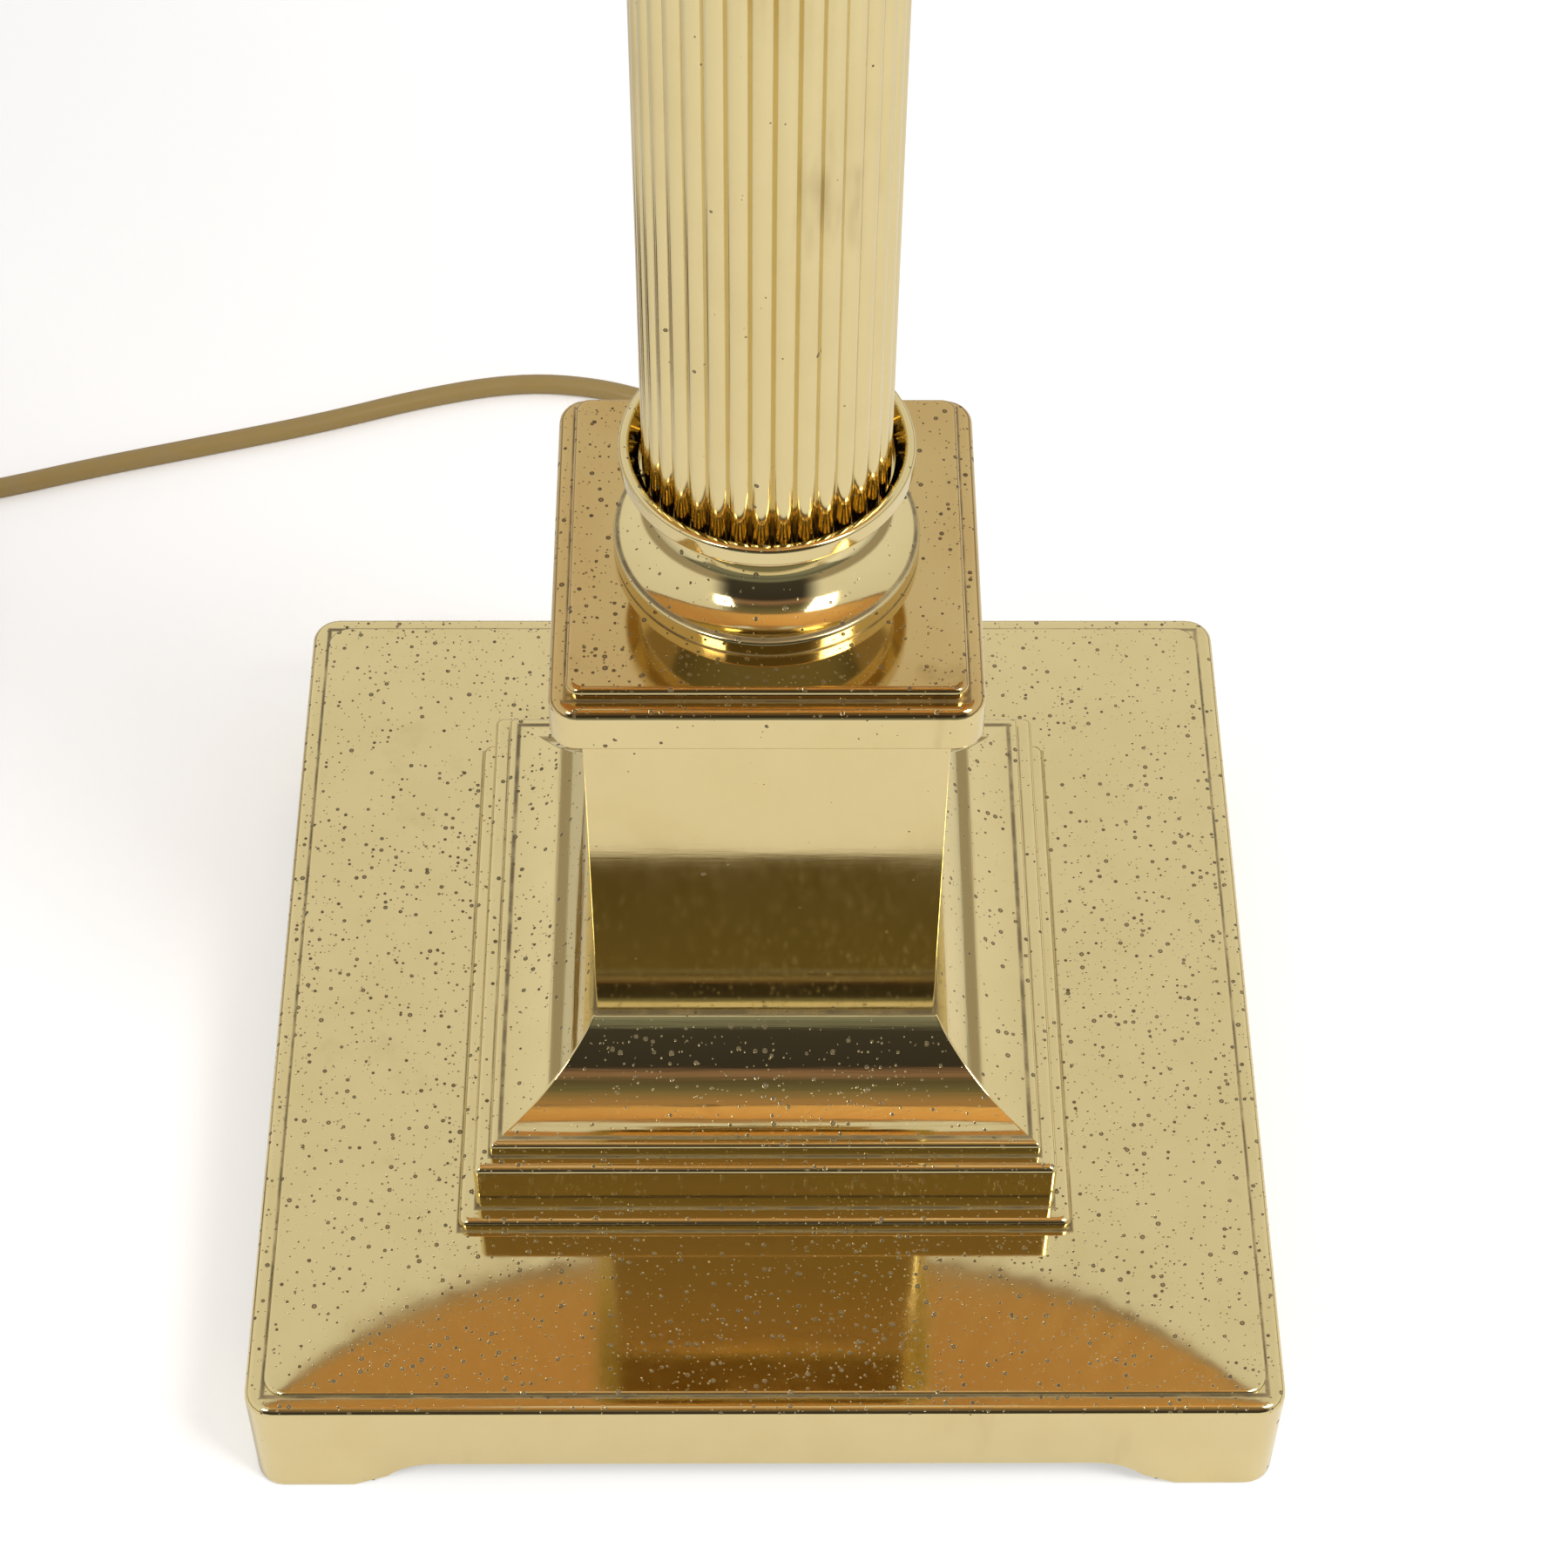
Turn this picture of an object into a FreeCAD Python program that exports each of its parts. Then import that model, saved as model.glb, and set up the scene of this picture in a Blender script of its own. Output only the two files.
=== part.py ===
import FreeCAD, Part
import math
import os

import Sketcher
from FreeCAD import Placement, Rotation, Vector

# Column table lamp. The origin is on the table under the column's axis, +Z up. The front is -Y and the
# flex leaves at the back, +Y. All sizes are in millimetres.

DIMENSIONS = {
    # base plate, a square pan on four bracket feet
    "base_half": 115.0,
    "base_top": 34.6,
    "base_ledge": 33.4,
    "base_edge_radius": 2.0,
    "base_corner": 6.5,
    "base_step_inset": 4.2,
    "base_step_radius": 0.8,
    "base_step_corner": 5.0,
    "base_wall": 2.6,
    "base_skin": 2.4,
    "foot_height": 9.4,
    "foot_length": 28.0,
    "foot_curve": 13.0,
    "pad_thick": 0.8,
    "pad_inset": 1.4,
    "pad_width": 2.0,
    "pad_clip": 1.6,
    # stepped square plinth with a scotia above it; heights are above the base plate's top
    "bead_half": 69.4,
    "bead_height": 3.7,
    "bead_radius": 1.4,
    "bead_corner": 2.2,
    "band_inset": 4.0,
    "band_height": 19.4,
    "band_radius": 1.6,
    "band_corner": 2.2,
    "step_inset": 3.8,
    "step_height": 23.6,
    "step_radius": 1.2,
    "step_corner": 1.8,
    "scotia_inset": 2.3,
    "scotia_radius": 19.5,
    "neck_half": 38.3,
    "neck_start": 40.4,
    "plinth_height": 41.6,
    "plinth_wall": 3.0,
    # square box above the plinth and its cap
    "dado_half": 37.6,
    "dado_height": 101.5,
    "dado_wall": 1.8,
    "cap_half": 43.9,
    "cap_ledge": 10.8,
    "cap_edge_radius": 2.2,
    "cap_corner": 6.0,
    "cap_step_inset": 3.6,
    "cap_step_radius": 1.2,
    "cap_step_corner": 2.8,
    "cap_height": 14.1,
    "cap_floor": 3.0,
    "cap_wall": 2.5,
    # turned collar that holds the foot of the column; the upper one is the same piece upside down
    "collar_ring_radius": 31.4,
    "collar_ring_height": 3.6,
    "collar_ring_bevel": 0.8,
    "flare_radius": 13.0,
    "flare_top_radius": 20.9,
    "flare_top": 12.6,
    "cup_start": 21.6,
    "collar_neck_radius": 26.6,
    "flange_radius": 29.7,
    "flange_start": 25.3,
    "flange_wall": 1.8,
    "collar_height": 29.6,
    "cup_floor": 22.4,
    "cup_gap": 0.35,
    # reeded column
    "column_radius": 25.1,
    "column_bore": 22.4,
    "column_length": 277.2,
    "reed_radius": 2.6,
    "reed_count": 34.0,
    "reed_turn": -3.0,
    "disc_thick": 5.0,
    # abacus and neck under the lampholder
    "abacus_foot_inset": 4.0,
    "abacus_foot": 2.4,
    "abacus_half": 38.6,
    "abacus_ledge": 13.0,
    "abacus_step_inset": 3.2,
    "abacus_height": 16.0,
    "neck_foot_radius": 25.0,
    "neck_foot_height": 4.0,
    "neck_waist_radius": 10.5,
    "neck_height": 26.0,
    # threaded tube that clamps the column, with its nut, washer and ballast
    "tube_radius": 5.0,
    "tube_bore": 3.4,
    "tube_bottom": 11.0,
    "thread_gap": 0.1,
    "hole_gap": 0.4,
    "ballast_half": 75.0,
    "ballast_thick": 12.0,
    "washer_radius": 14.0,
    "washer_thick": 1.6,
    "nut_flats": 17.0,
    "nut_height": 6.0,
    # lampholder
    "holder_radius": 19.6,
    "holder_wall": 1.4,
    "holder_cap_height": 24.0,
    "holder_entry": 5.0,
    "holder_shell_height": 36.0,
    "seat_radius": 24.6,
    "seat_start": 8.0,
    "seat_thick": 3.0,
    "insert_base": 3.0,
    "insert_wall": 1.8,
    "socket_radius": 13.4,
    "socket_wall": 0.6,
    "socket_lip": 3.0,
    "contact_radius": 4.0,
    "contact_height": 3.0,
    "switch_height": 15.0,
    "switch_width": 7.0,
    "switch_thick": 4.6,
    "switch_length": 54.0,
    "switch_travel": 6.0,
    "switch_gap": 0.3,
    # shade on its gimbal ring
    "gimbal_gap": 0.3,
    "gimbal_inner": 20.2,
    "gimbal_outer": 25.2,
    "gimbal_thick": 1.6,
    "shade_ring_radius": 26.0,
    "shade_ring_height": 6.0,
    "shade_bottom": 545.0,
    "shade_height": 285.0,
    "shade_bottom_radius": 235.0,
    "shade_top_radius": 128.0,
    "shade_thick": 1.2,
    "wire_radius": 1.6,
    "wire_gap": 0.3,
    "spoke_count": 3.0,
    "trim_height": 9.0,
    "trim_thick": 0.8,
    "trim_gap": 0.3,
    # flex, its bush at the back and its clip and earth screw under the ballast
    "flex_diameter": 5.5,
    "flex_exit_height": 17.8,
    "core_diameter": 2.0,
    "core_gap": 0.2,
    "core_bend": 6.5,
    "core_lead": 5.0,
    "core_terminal": 8.0,
    "bush_hole_radius": 5.0,
    "bush_flange_radius": 7.0,
    "bush_flange_thick": 1.6,
    "bush_tip_radius": 3.7,
    "bush_length": 24.0,
    "bush_gap": 0.1,
    "clip_place": 52.0,
    "clip_width": 12.0,
    "clip_half_span": 13.5,
    "clip_thick": 1.6,
    "clip_screw_radius": 1.9,
    "clip_head_radius": 3.4,
    "clip_head_height": 1.8,
    "clip_screw_spread": 9.6,
    "earth_out": 24.0,
    "earth_back": 30.0,
    "tag_radius": 4.6,
    "tag_thick": 0.8,
    "tag_barrel": 7.0,
    # coil of the flex that is put away
    "coil_gap": 0.6,
    "coil_mid_radius": 30.0,
    "coil_turns": 7.0,
    # three-pin plug, lying on its back
    "plug_width": 50.0,
    "plug_long": 52.0,
    "plug_thick": 24.0,
    "plug_corner": 7.0,
    "plug_edge": 2.0,
    "plug_split": 15.0,
    "plug_shoulder": 18.0,
    "plug_entry_height": 11.0,
    "earth_pin_wide": 8.0,
    "earth_pin_thick": 4.0,
    "earth_pin_long": 22.7,
    "line_pin_wide": 6.35,
    "line_pin_thick": 4.0,
    "line_pin_long": 17.7,
    "pin_row_gap": 22.2,
    "pin_spread": 11.1,
    "plug_screw_radius": 3.2,
    "plug_screw_height": 0.8,
}

# Route of the flex over the table, from the bush to the coil: plan places chosen by hand, and how far the
# flex's middle is above its lying height.
FLEX_ROUTE = [
    (0.0, 152.0, 15.05),
    (1.0, 164.5, 10.4),
    (0.4, 178.0, 3.4),
    (-3.0, 192.5, 0.0),
    (-12.0, 207.5, 0.0),
    (-26.0, 219.2, 0.0),
    (-45.5, 226.6, 0.0),
    (-68.0, 228.6, 0.0),
    (-94.0, 222.8, 0.0),
    (-122.0, 213.0, 0.0),
    (-152.0, 204.6, 0.0),
    (-184.0, 196.0, 0.0),
    (-214.0, 186.4, 0.0),
]
# The coil's middle, and the angle round it where the flex arrives and starts to turn left.
COIL_CENTRE = (-257.5, 134.5)
COIL_START = 107.0
# Route from the coil to the plug, the same way, and the middle of the plug's end where it enters.
TAIL_ROUTE = [
    (-287.0, 92.0, 3.2),
    (-284.3, 76.0, 2.6),
]
PLUG_PLACE = (-283.5, 50.0)

PARTS_FOLDER = "parts"
SMALL = 1e-6


class Size:
    """A size as a number and as the sheet's expression that gives it."""

    def __init__(self, value, text):
        self.value = value
        self.text = text

    @staticmethod
    def of(other):
        return other if isinstance(other, Size) else Size(float(other), str(float(other)))

    def __add__(self, other):
        other = Size.of(other)
        return Size(self.value + other.value, f"({self.text} + {other.text})")

    def __radd__(self, other):
        return Size.of(other) + self

    def __sub__(self, other):
        other = Size.of(other)
        return Size(self.value - other.value, f"({self.text} - {other.text})")

    def __rsub__(self, other):
        return Size.of(other) - self

    def __mul__(self, other):
        other = Size.of(other)
        return Size(self.value * other.value, f"({self.text} * {other.text})")

    def __rmul__(self, other):
        return Size.of(other) * self

    def __truediv__(self, other):
        other = Size.of(other)
        return Size(self.value / other.value, f"({self.text} / {other.text})")

    def __neg__(self):
        return Size(-self.value, f"(0 - {self.text})")


class Arc:
    """Marks a span of an outline as an arc; left says that it turns left on its way."""

    def __init__(self, radius, left=True):
        self.radius = Size.of(radius)
        self.left = left


doc = FreeCAD.newDocument("ColumnTableLamp")
sheet = doc.addObject("Spreadsheet::Sheet", "Sheet")


def fill_sheet():
    for row, (alias, number) in enumerate(DIMENSIONS.items(), start=1):
        sheet.set(f"A{row}", alias)
        sheet.set(f"B{row}", str(number))
        sheet.setAlias(f"B{row}", alias)
    doc.recompute()
    return {alias: Size(float(sheet.get(alias)), f"Sheet.{alias}") for alias in DIMENSIONS}


D = fill_sheet()
ZERO = Size.of(0.0)
SUB_PARTS = []


def keep(obj, label):
    """Names a finished sub-part; its label is its file's name."""
    obj.Label = label
    SUB_PARTS.append(obj)
    return obj


# ---- outlines -------------------------------------------------------------------------------------


def arc_centre(start, end, arc):
    """Centre of the shorter arc of a radius from start to end, on its left or right."""
    chord = end - start
    middle = (start + end) * 0.5
    side = Vector(-chord.y, chord.x, 0).normalize()
    reach = math.sqrt(max(arc.radius.value**2 - (chord.Length / 2) ** 2, 0.0))
    return middle + side * (reach if arc.left else -reach)


def span_geometry(start, end, arc):
    if arc is None:
        return Part.LineSegment(start, end)
    centre = arc_centre(start, end, arc)
    first, last = (start, end) if arc.left else (end, start)
    angles = [math.atan2(p.y - centre.y, p.x - centre.x) for p in (first, last)]
    if angles[1] < angles[0]:
        angles[1] += 2 * math.pi
    circle = Part.Circle(centre, Vector(0, 0, 1), arc.radius.value)
    return Part.ArcOfCircle(circle, angles[0], angles[1])


def draw_outline(sketch, outline):
    """Adds a closed outline. It lists (x, y) pairs of sizes, with an Arc between two that it joins."""
    corners = [item for item in outline if not isinstance(item, Arc)]
    arcs = {}
    count = 0
    for item in outline:
        if isinstance(item, Arc):
            arcs[count - 1] = item
        else:
            count += 1
    places = [Vector(Size.of(x).value, Size.of(y).value, 0) for x, y in corners]
    first = sketch.GeometryCount
    for i, start in enumerate(places):
        end = places[(i + 1) % count]
        sketch.addGeometry(span_geometry(start, end, arcs.get(i)), False)
    for i in range(count):
        following = (i + 1) % count
        end_side = 1 if i in arcs and not arcs[i].left else 2
        start_side = 2 if following in arcs and not arcs[following].left else 1
        join = Sketcher.Constraint("Coincident", first + i, end_side, first + following, start_side)
        sketch.addConstraint(join)
    for i, corner in enumerate(corners):
        side = 2 if i in arcs and not arcs[i].left else 1
        for kind, size in zip(("DistanceX", "DistanceY"), corner):
            bind(sketch, Sketcher.Constraint(kind, first + i, side, Size.of(size).value), size)
        if i in arcs:
            radius = arcs[i].radius
            bind(sketch, Sketcher.Constraint("Radius", first + i, radius.value), radius)


def bind(sketch, constraint, size):
    number = sketch.addConstraint(constraint)
    if isinstance(size, Size) and "Sheet" in size.text:
        sketch.setExpression(f"Constraints[{number}]", size.text)


def draw_circle(sketch, x, y, radius):
    x, y, radius = Size.of(x), Size.of(y), Size.of(radius)
    circle = Part.Circle(Vector(x.value, y.value, 0), Vector(0, 0, 1), radius.value)
    number = sketch.addGeometry(circle, False)
    bind(sketch, Sketcher.Constraint("DistanceX", number, 3, x.value), x)
    bind(sketch, Sketcher.Constraint("DistanceY", number, 3, y.value), y)
    bind(sketch, Sketcher.Constraint("Radius", number, radius.value), radius)


# ---- features -------------------------------------------------------------------------------------


def origin_feature(body, role):
    return next(item for item in body.Origin.OriginFeatures if item.Role == role)


def new_body(name):
    body = doc.addObject("PartDesign::Body", name)
    body.AllowCompound = True
    return body


def body_sketch(body, role, outlines=(), circles=()):
    sketch = body.newObject("Sketcher::SketchObject", f"{body.Name}_sketch")
    sketch.AttachmentSupport = [(origin_feature(body, role), "")]
    sketch.MapMode = "FlatFace"
    for outline in outlines:
        draw_outline(sketch, outline)
    for circle in circles:
        draw_circle(sketch, *circle)
    doc.recompute()
    return sketch


def add_pad(body, sketch, length, both_ways=False):
    pad = body.newObject("PartDesign::Pad", f"{body.Name}_pad")
    pad.Profile = sketch
    pad.Midplane = both_ways
    pad.setExpression("Length", length.text)
    doc.recompute()
    return pad


def cut_through(body, sketch):
    """Pockets the outline through the whole body, both ways, and makes sure that it cuts."""
    before = body.Tip.Shape.Volume
    pocket = body.newObject("PartDesign::Pocket", f"{body.Name}_pocket")
    pocket.Profile = sketch
    pocket.Type = "ThroughAll"
    pocket.Midplane = True
    doc.recompute()
    if pocket.Shape.Volume > before - SMALL:
        raise RuntimeError(f"{pocket.Name} cuts nothing")
    return pocket


def repeat_round(body, feature, count_text):
    pattern = body.newObject("PartDesign::PolarPattern", f"{body.Name}_ring")
    pattern.Originals = [feature]
    pattern.Axis = (origin_feature(body, "Z_Axis"), [""])
    pattern.Angle = 360
    pattern.setExpression("Occurrences", count_text)
    body.Tip = pattern
    doc.recompute()
    return pattern


def turned(label, outline):
    """A solid of revolution about the lamp's axis, from its (radius, height) outline."""
    body = new_body(label)
    sketch = body_sketch(body, "XZ_Plane", [outline])
    revolution = body.newObject("PartDesign::Revolution", f"{label}_turn")
    revolution.Profile = sketch
    revolution.ReferenceAxis = (sketch, ["V_Axis"])
    revolution.Angle = 360
    doc.recompute()
    return body


def mirrored_outline(half):
    """The whole outline of a moulding from its right half, which runs from its foot up to its top."""
    left = []
    for item in reversed(half):
        left.append(item if isinstance(item, Arc) else (-Size.of(item[0]), item[1]))
    return list(half) + left


def rounded_square(half, corner):
    """Outline of a square with round corners, about the origin."""
    flat = half - corner
    return [
        (-flat, -half), (flat, -half), Arc(corner),
        (half, -flat), (half, flat), Arc(corner),
        (flat, half), (-flat, half), Arc(corner),
        (-half, flat), (-half, -flat), Arc(corner),
    ]


def tier(name, half, bottom, top, corner, edge):
    """A square block with round corners whose top edge is rounded over."""
    body = new_body(name)
    sketch = body_sketch(body, "XY_Plane", [rounded_square(half, corner)])
    pad = add_pad(body, sketch, top - bottom)
    crown = max(range(len(pad.Shape.Faces)), key=lambda n: pad.Shape.Faces[n].CenterOfMass.z)
    rounding = body.newObject("PartDesign::Fillet", f"{name}_edge")
    rounding.Base = (pad, [f"Face{crown + 1}"])
    rounding.setExpression("Radius", edge.text)
    body.setExpression("Placement.Base.z", bottom.text)
    doc.recompute()
    return body


def square_moulding(name, half):
    """A square block whose four sides have one section and meet in mitres."""
    runs = []
    for number, turn in enumerate((0.0, 90.0)):
        sketch = doc.addObject("Sketcher::SketchObject", f"{name}_section_{number}")
        upright = Rotation(Vector(0, 0, 1), turn) * Rotation(Vector(1, 0, 0), 90)
        sketch.Placement = Placement(Vector(), upright)
        draw_outline(sketch, mirrored_outline(half))
        run = doc.addObject("Part::Extrusion", f"{name}_run_{number}")
        run.Base = sketch
        run.DirMode = "Normal"
        run.Solid = True
        run.Symmetric = True
        corners = (item[0] for item in half if not isinstance(item, Arc))
        widest = max(corners, key=lambda size: Size.of(size).value)
        run.setExpression("LengthFwd", (Size.of(widest) * 2.5).text)
        runs.append(run)
    block = doc.addObject("Part::Common", f"{name}_block")
    block.Base, block.Tool = runs
    doc.recompute()
    return block


def box(name, low, high):
    """A box between two corners, given as triples of sizes."""
    low = [Size.of(v) for v in low]
    high = [Size.of(v) for v in high]
    solid = doc.addObject("Part::Box", name)
    for side, a, b in zip(("Length", "Width", "Height"), low, high):
        solid.setExpression(side, (b - a).text)
    for way, a in zip("xyz", low):
        solid.setExpression(f"Placement.Base.{way}", a.text)
    return solid


def square_box(name, half, bottom, top):
    return box(name, (-half, -half, bottom), (half, half, top))


def rod(name, radius, bottom, top, x=ZERO, y=ZERO):
    """An upright cylinder."""
    solid = doc.addObject("Part::Cylinder", name)
    solid.setExpression("Radius", Size.of(radius).text)
    solid.setExpression("Height", (Size.of(top) - bottom).text)
    for way, place in zip("xyz", (x, y, bottom)):
        solid.setExpression(f"Placement.Base.{way}", Size.of(place).text)
    return solid


def lying_rod(name, radius, start, length, y_way=True):
    """A cylinder along +Y, or along +X, from a start point."""
    solid = doc.addObject("Part::Cylinder", name)
    solid.setExpression("Radius", Size.of(radius).text)
    solid.setExpression("Height", Size.of(length).text)
    axis, angle = (Vector(1, 0, 0), -90) if y_way else (Vector(0, 1, 0), 90)
    solid.Placement = Placement(Vector(), Rotation(axis, angle))
    for way, place in zip("xyz", start):
        solid.setExpression(f"Placement.Base.{way}", Size.of(place).text)
    return solid


def subtract(name, base, *tools):
    result = base
    for number, tool in enumerate(tools):
        cut = doc.addObject("Part::Cut", f"{name}_cut_{number}")
        cut.Base = result
        cut.Tool = tool
        result = cut
    doc.recompute()
    return result


def unite(name, *solids):
    fuse = doc.addObject("Part::MultiFuse", f"{name}_joined")
    fuse.Shapes = list(solids)
    fuse.Refine = True
    doc.recompute()
    return fuse


def fixed_shape(label, shape, placement=None):
    """A sub-part whose shape is worked out below from the sheet's sizes."""
    feature = doc.addObject("Part::Feature", label)
    feature.Shape = shape
    if placement is not None:
        feature.Placement = placement
    return keep(feature, label)


# ---- heights that several pieces share -------------------------------------------------------------

PAN_CEILING = D["base_top"] - D["base_skin"]
APRON = D["pad_thick"] + D["foot_height"]
PLINTH_TOP = D["base_top"] + D["plinth_height"]
CAP_BOTTOM = PLINTH_TOP + D["dado_height"]
CAP_TOP = CAP_BOTTOM + D["cap_height"]
COLUMN_BOTTOM = CAP_TOP + D["cup_floor"]
COLUMN_TOP = COLUMN_BOTTOM + D["column_length"]
ABACUS_BOTTOM = COLUMN_TOP + D["cup_floor"]
ABACUS_TOP = ABACUS_BOTTOM + D["abacus_height"]
HOLDER_BOTTOM = ABACUS_TOP + D["neck_height"]
SHELL_BOTTOM = HOLDER_BOTTOM + D["holder_cap_height"]
SHELL_TOP = SHELL_BOTTOM + D["holder_shell_height"]
SEAT_TOP = SHELL_BOTTOM + D["seat_start"] + D["seat_thick"]
GIMBAL_BOTTOM = SEAT_TOP + D["gimbal_gap"]
GIMBAL_TOP = GIMBAL_BOTTOM + D["gimbal_thick"]
SOCKET_FLOOR = SHELL_BOTTOM + D["insert_base"]
THREAD_BOTTOM = SOCKET_FLOOR + D["contact_height"] + 0.5
SOCKET_TOP = SHELL_TOP - D["socket_lip"]
BALLAST_BOTTOM = PAN_CEILING - D["ballast_thick"]
CLIP_SCREW_DEPTH = D["ballast_thick"] / 2
ROD_HOLE = D["tube_radius"] + D["hole_gap"]


# ---- base -----------------------------------------------------------------------------------------


def base_plate():
    half, top, ledge = D["base_half"], D["base_top"], D["base_ledge"]
    slab = tier("base_slab", half, D["pad_thick"], ledge, D["base_corner"], D["base_edge_radius"])
    step = tier("base_step", half - D["base_step_inset"], ledge, top, D["base_step_corner"],
                D["base_step_radius"])
    hollow = square_box("base_hollow", half - D["base_wall"], ZERO, PAN_CEILING)
    aprons = [apron_cut("front_back_apron", 0.0), apron_cut("side_apron", 90.0)]
    hole = rod("base_rod_hole", ROD_HOLE, ZERO, top + 1)
    exit_hole = lying_rod("base_bush_hole", D["bush_hole_radius"],
                          (ZERO, half - D["base_wall"] * 2, D["flex_exit_height"]), D["base_wall"] * 3)
    block = unite("base_block", slab, step)
    return keep(subtract("base_plate", block, hollow, *aprons, hole, exit_hole), "base_plate")


def apron_cut(name, turn):
    """The gap between two feet on opposite sides, with a quarter curve beside each foot."""
    foot = D["base_half"] - D["foot_length"]
    inner = foot - D["foot_curve"]
    rise = D["foot_height"]
    # the curve is level where it meets the apron
    radius = (D["foot_curve"] * D["foot_curve"] + rise * rise) / (rise * 2)
    floor = D["pad_thick"] - 1
    sketch = doc.addObject("Sketcher::SketchObject", f"{name}_outline")
    sketch.Placement = Placement(Vector(), Rotation(Vector(0, 0, 1), turn) * Rotation(Vector(1, 0, 0), 90))
    draw_outline(sketch, [
        (-foot, floor),
        (foot, floor),
        (foot, D["pad_thick"]), Arc(radius), (inner, APRON),
        (-inner, APRON), Arc(radius), (-foot, D["pad_thick"]),
    ])
    run = doc.addObject("Part::Extrusion", name)
    run.Base = sketch
    run.DirMode = "Normal"
    run.Solid = True
    run.Symmetric = True
    run.setExpression("LengthFwd", (D["base_half"] * 2.5).text)
    return run


def foot_pads():
    body = new_body("pads")
    outer = D["base_half"] - D["pad_inset"]
    inner = outer - D["pad_width"]
    end = D["base_half"] - D["foot_length"] + D["pad_inset"]
    sketch = body_sketch(body, "XY_Plane", [[
        (end, outer), (end, inner), (inner, inner), (inner, end), (outer, end),
        (outer, outer - D["pad_clip"]), (outer - D["pad_clip"], outer),
    ]])
    pad = add_pad(body, sketch, D["pad_thick"])
    repeat_round(body, pad, "4")
    return keep(body, "foot_pads")


def ballast_plate():
    block = square_box("ballast_block", D["ballast_half"], BALLAST_BOTTOM, PAN_CEILING)
    hole = rod("ballast_hole", ROD_HOLE, BALLAST_BOTTOM - 1, PAN_CEILING + 1)
    places = [(side * D["clip_screw_spread"], D["clip_place"]) for side in (-1, 1)]
    places.append((-D["earth_out"], D["earth_back"]))
    screw_holes = [rod(f"ballast_screw_hole_{n}", D["clip_screw_radius"], BALLAST_BOTTOM - 1,
                       BALLAST_BOTTOM + CLIP_SCREW_DEPTH, x, y) for n, (x, y) in enumerate(places)]
    return keep(subtract("ballast_plate", block, hole, *screw_holes), "ballast_plate")


# ---- plinth, box and cap --------------------------------------------------------------------------


def plinth():
    z0, wall = D["base_top"], D["plinth_wall"]
    bead, band, step = z0 + D["bead_height"], z0 + D["band_height"], z0 + D["step_height"]
    neck = z0 + D["neck_start"]
    band_half = D["bead_half"] - D["band_inset"]
    step_half = band_half - D["step_inset"]
    scotia_half = step_half - D["scotia_inset"]
    tiers = [
        tier("plinth_bead", D["bead_half"], z0, bead, D["bead_corner"], D["bead_radius"]),
        tier("plinth_band", band_half, z0, band, D["band_corner"], D["band_radius"]),
        tier("plinth_step", step_half, z0, step, D["step_corner"], D["step_radius"]),
    ]
    scotia = square_moulding("plinth_scotia", [
        (scotia_half, step - D["step_radius"]),
        (scotia_half, step), Arc(D["scotia_radius"], left=False), (D["neck_half"], neck),
        (D["neck_half"], PLINTH_TOP),
    ])
    hollow = square_box("plinth_hollow", band_half - wall, z0 - 1, band - wall)
    shaft = square_box("plinth_shaft", D["neck_half"] - wall * 1.5, z0, PLINTH_TOP - wall)
    hole = rod("plinth_rod_hole", ROD_HOLE, z0, PLINTH_TOP + 1)
    return keep(subtract("plinth", unite("plinth_block", *tiers, scotia), hollow, shaft, hole), "plinth")


def dado_box():
    outer = square_box("dado_outer", D["dado_half"], PLINTH_TOP, CAP_BOTTOM)
    inner = square_box("dado_inner", D["dado_half"] - D["dado_wall"], PLINTH_TOP - 1, CAP_BOTTOM + 1)
    return keep(subtract("dado_box", outer, inner), "dado_box")


def stepped_cap(name, bottom, half, ledge, step_inset, height):
    """A square cap: a vertical face with a rounded edge, a ledge, and a lower step on top."""
    lower = tier(f"{name}_lower", half, bottom, bottom + ledge, D["cap_corner"], D["cap_edge_radius"])
    upper = tier(f"{name}_upper", half - step_inset, bottom, bottom + height, D["cap_step_corner"],
                 D["cap_step_radius"])
    return unite(name, lower, upper)


def cap_moulding():
    block = stepped_cap("cap", CAP_BOTTOM, D["cap_half"], D["cap_ledge"], D["cap_step_inset"],
                        D["cap_height"])
    inner = D["dado_half"] - D["dado_wall"]
    hollow = square_box("cap_hollow", inner - D["cap_wall"], CAP_BOTTOM - 1, CAP_TOP - D["cap_floor"])
    hole = rod("cap_rod_hole", ROD_HOLE, CAP_BOTTOM, CAP_TOP + 1)
    return keep(subtract("cap_moulding", block, hollow, hole), "cap_moulding")


# ---- column ---------------------------------------------------------------------------------------


def collar_outline(base, up):
    """Half section of a collar; up is 1 for one that stands on base and -1 for one that hangs from it."""

    def at(radius, rise):
        return (radius, base + rise * up)

    left = up > 0
    bevel, tip = D["collar_ring_bevel"], D["flange_wall"] / 2
    lip = D["flange_radius"] - tip * 2
    cup = D["column_radius"] + D["cup_gap"]
    return [
        at(ROD_HOLE, ZERO),
        at(D["collar_ring_radius"], ZERO),
        at(D["collar_ring_radius"], D["collar_ring_height"]),
        at(D["collar_ring_radius"] - bevel, D["collar_ring_height"] + bevel * 0.6),
        Arc(D["flare_radius"], not left),
        at(D["flare_top_radius"], D["flare_top"]),
        at(D["collar_neck_radius"], D["cup_start"]),
        at(D["collar_neck_radius"], D["flange_start"]),
        at(D["flange_radius"], D["flange_start"]),
        at(D["flange_radius"], D["collar_height"] - tip), Arc(tip, left),
        at(D["flange_radius"] - tip, D["collar_height"]), Arc(tip, left),
        at(lip, D["collar_height"] - tip),
        at(cup, D["flange_start"] - tip),
        at(cup, D["cup_floor"]),
        at(ROD_HOLE, D["cup_floor"]),
    ]


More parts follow.
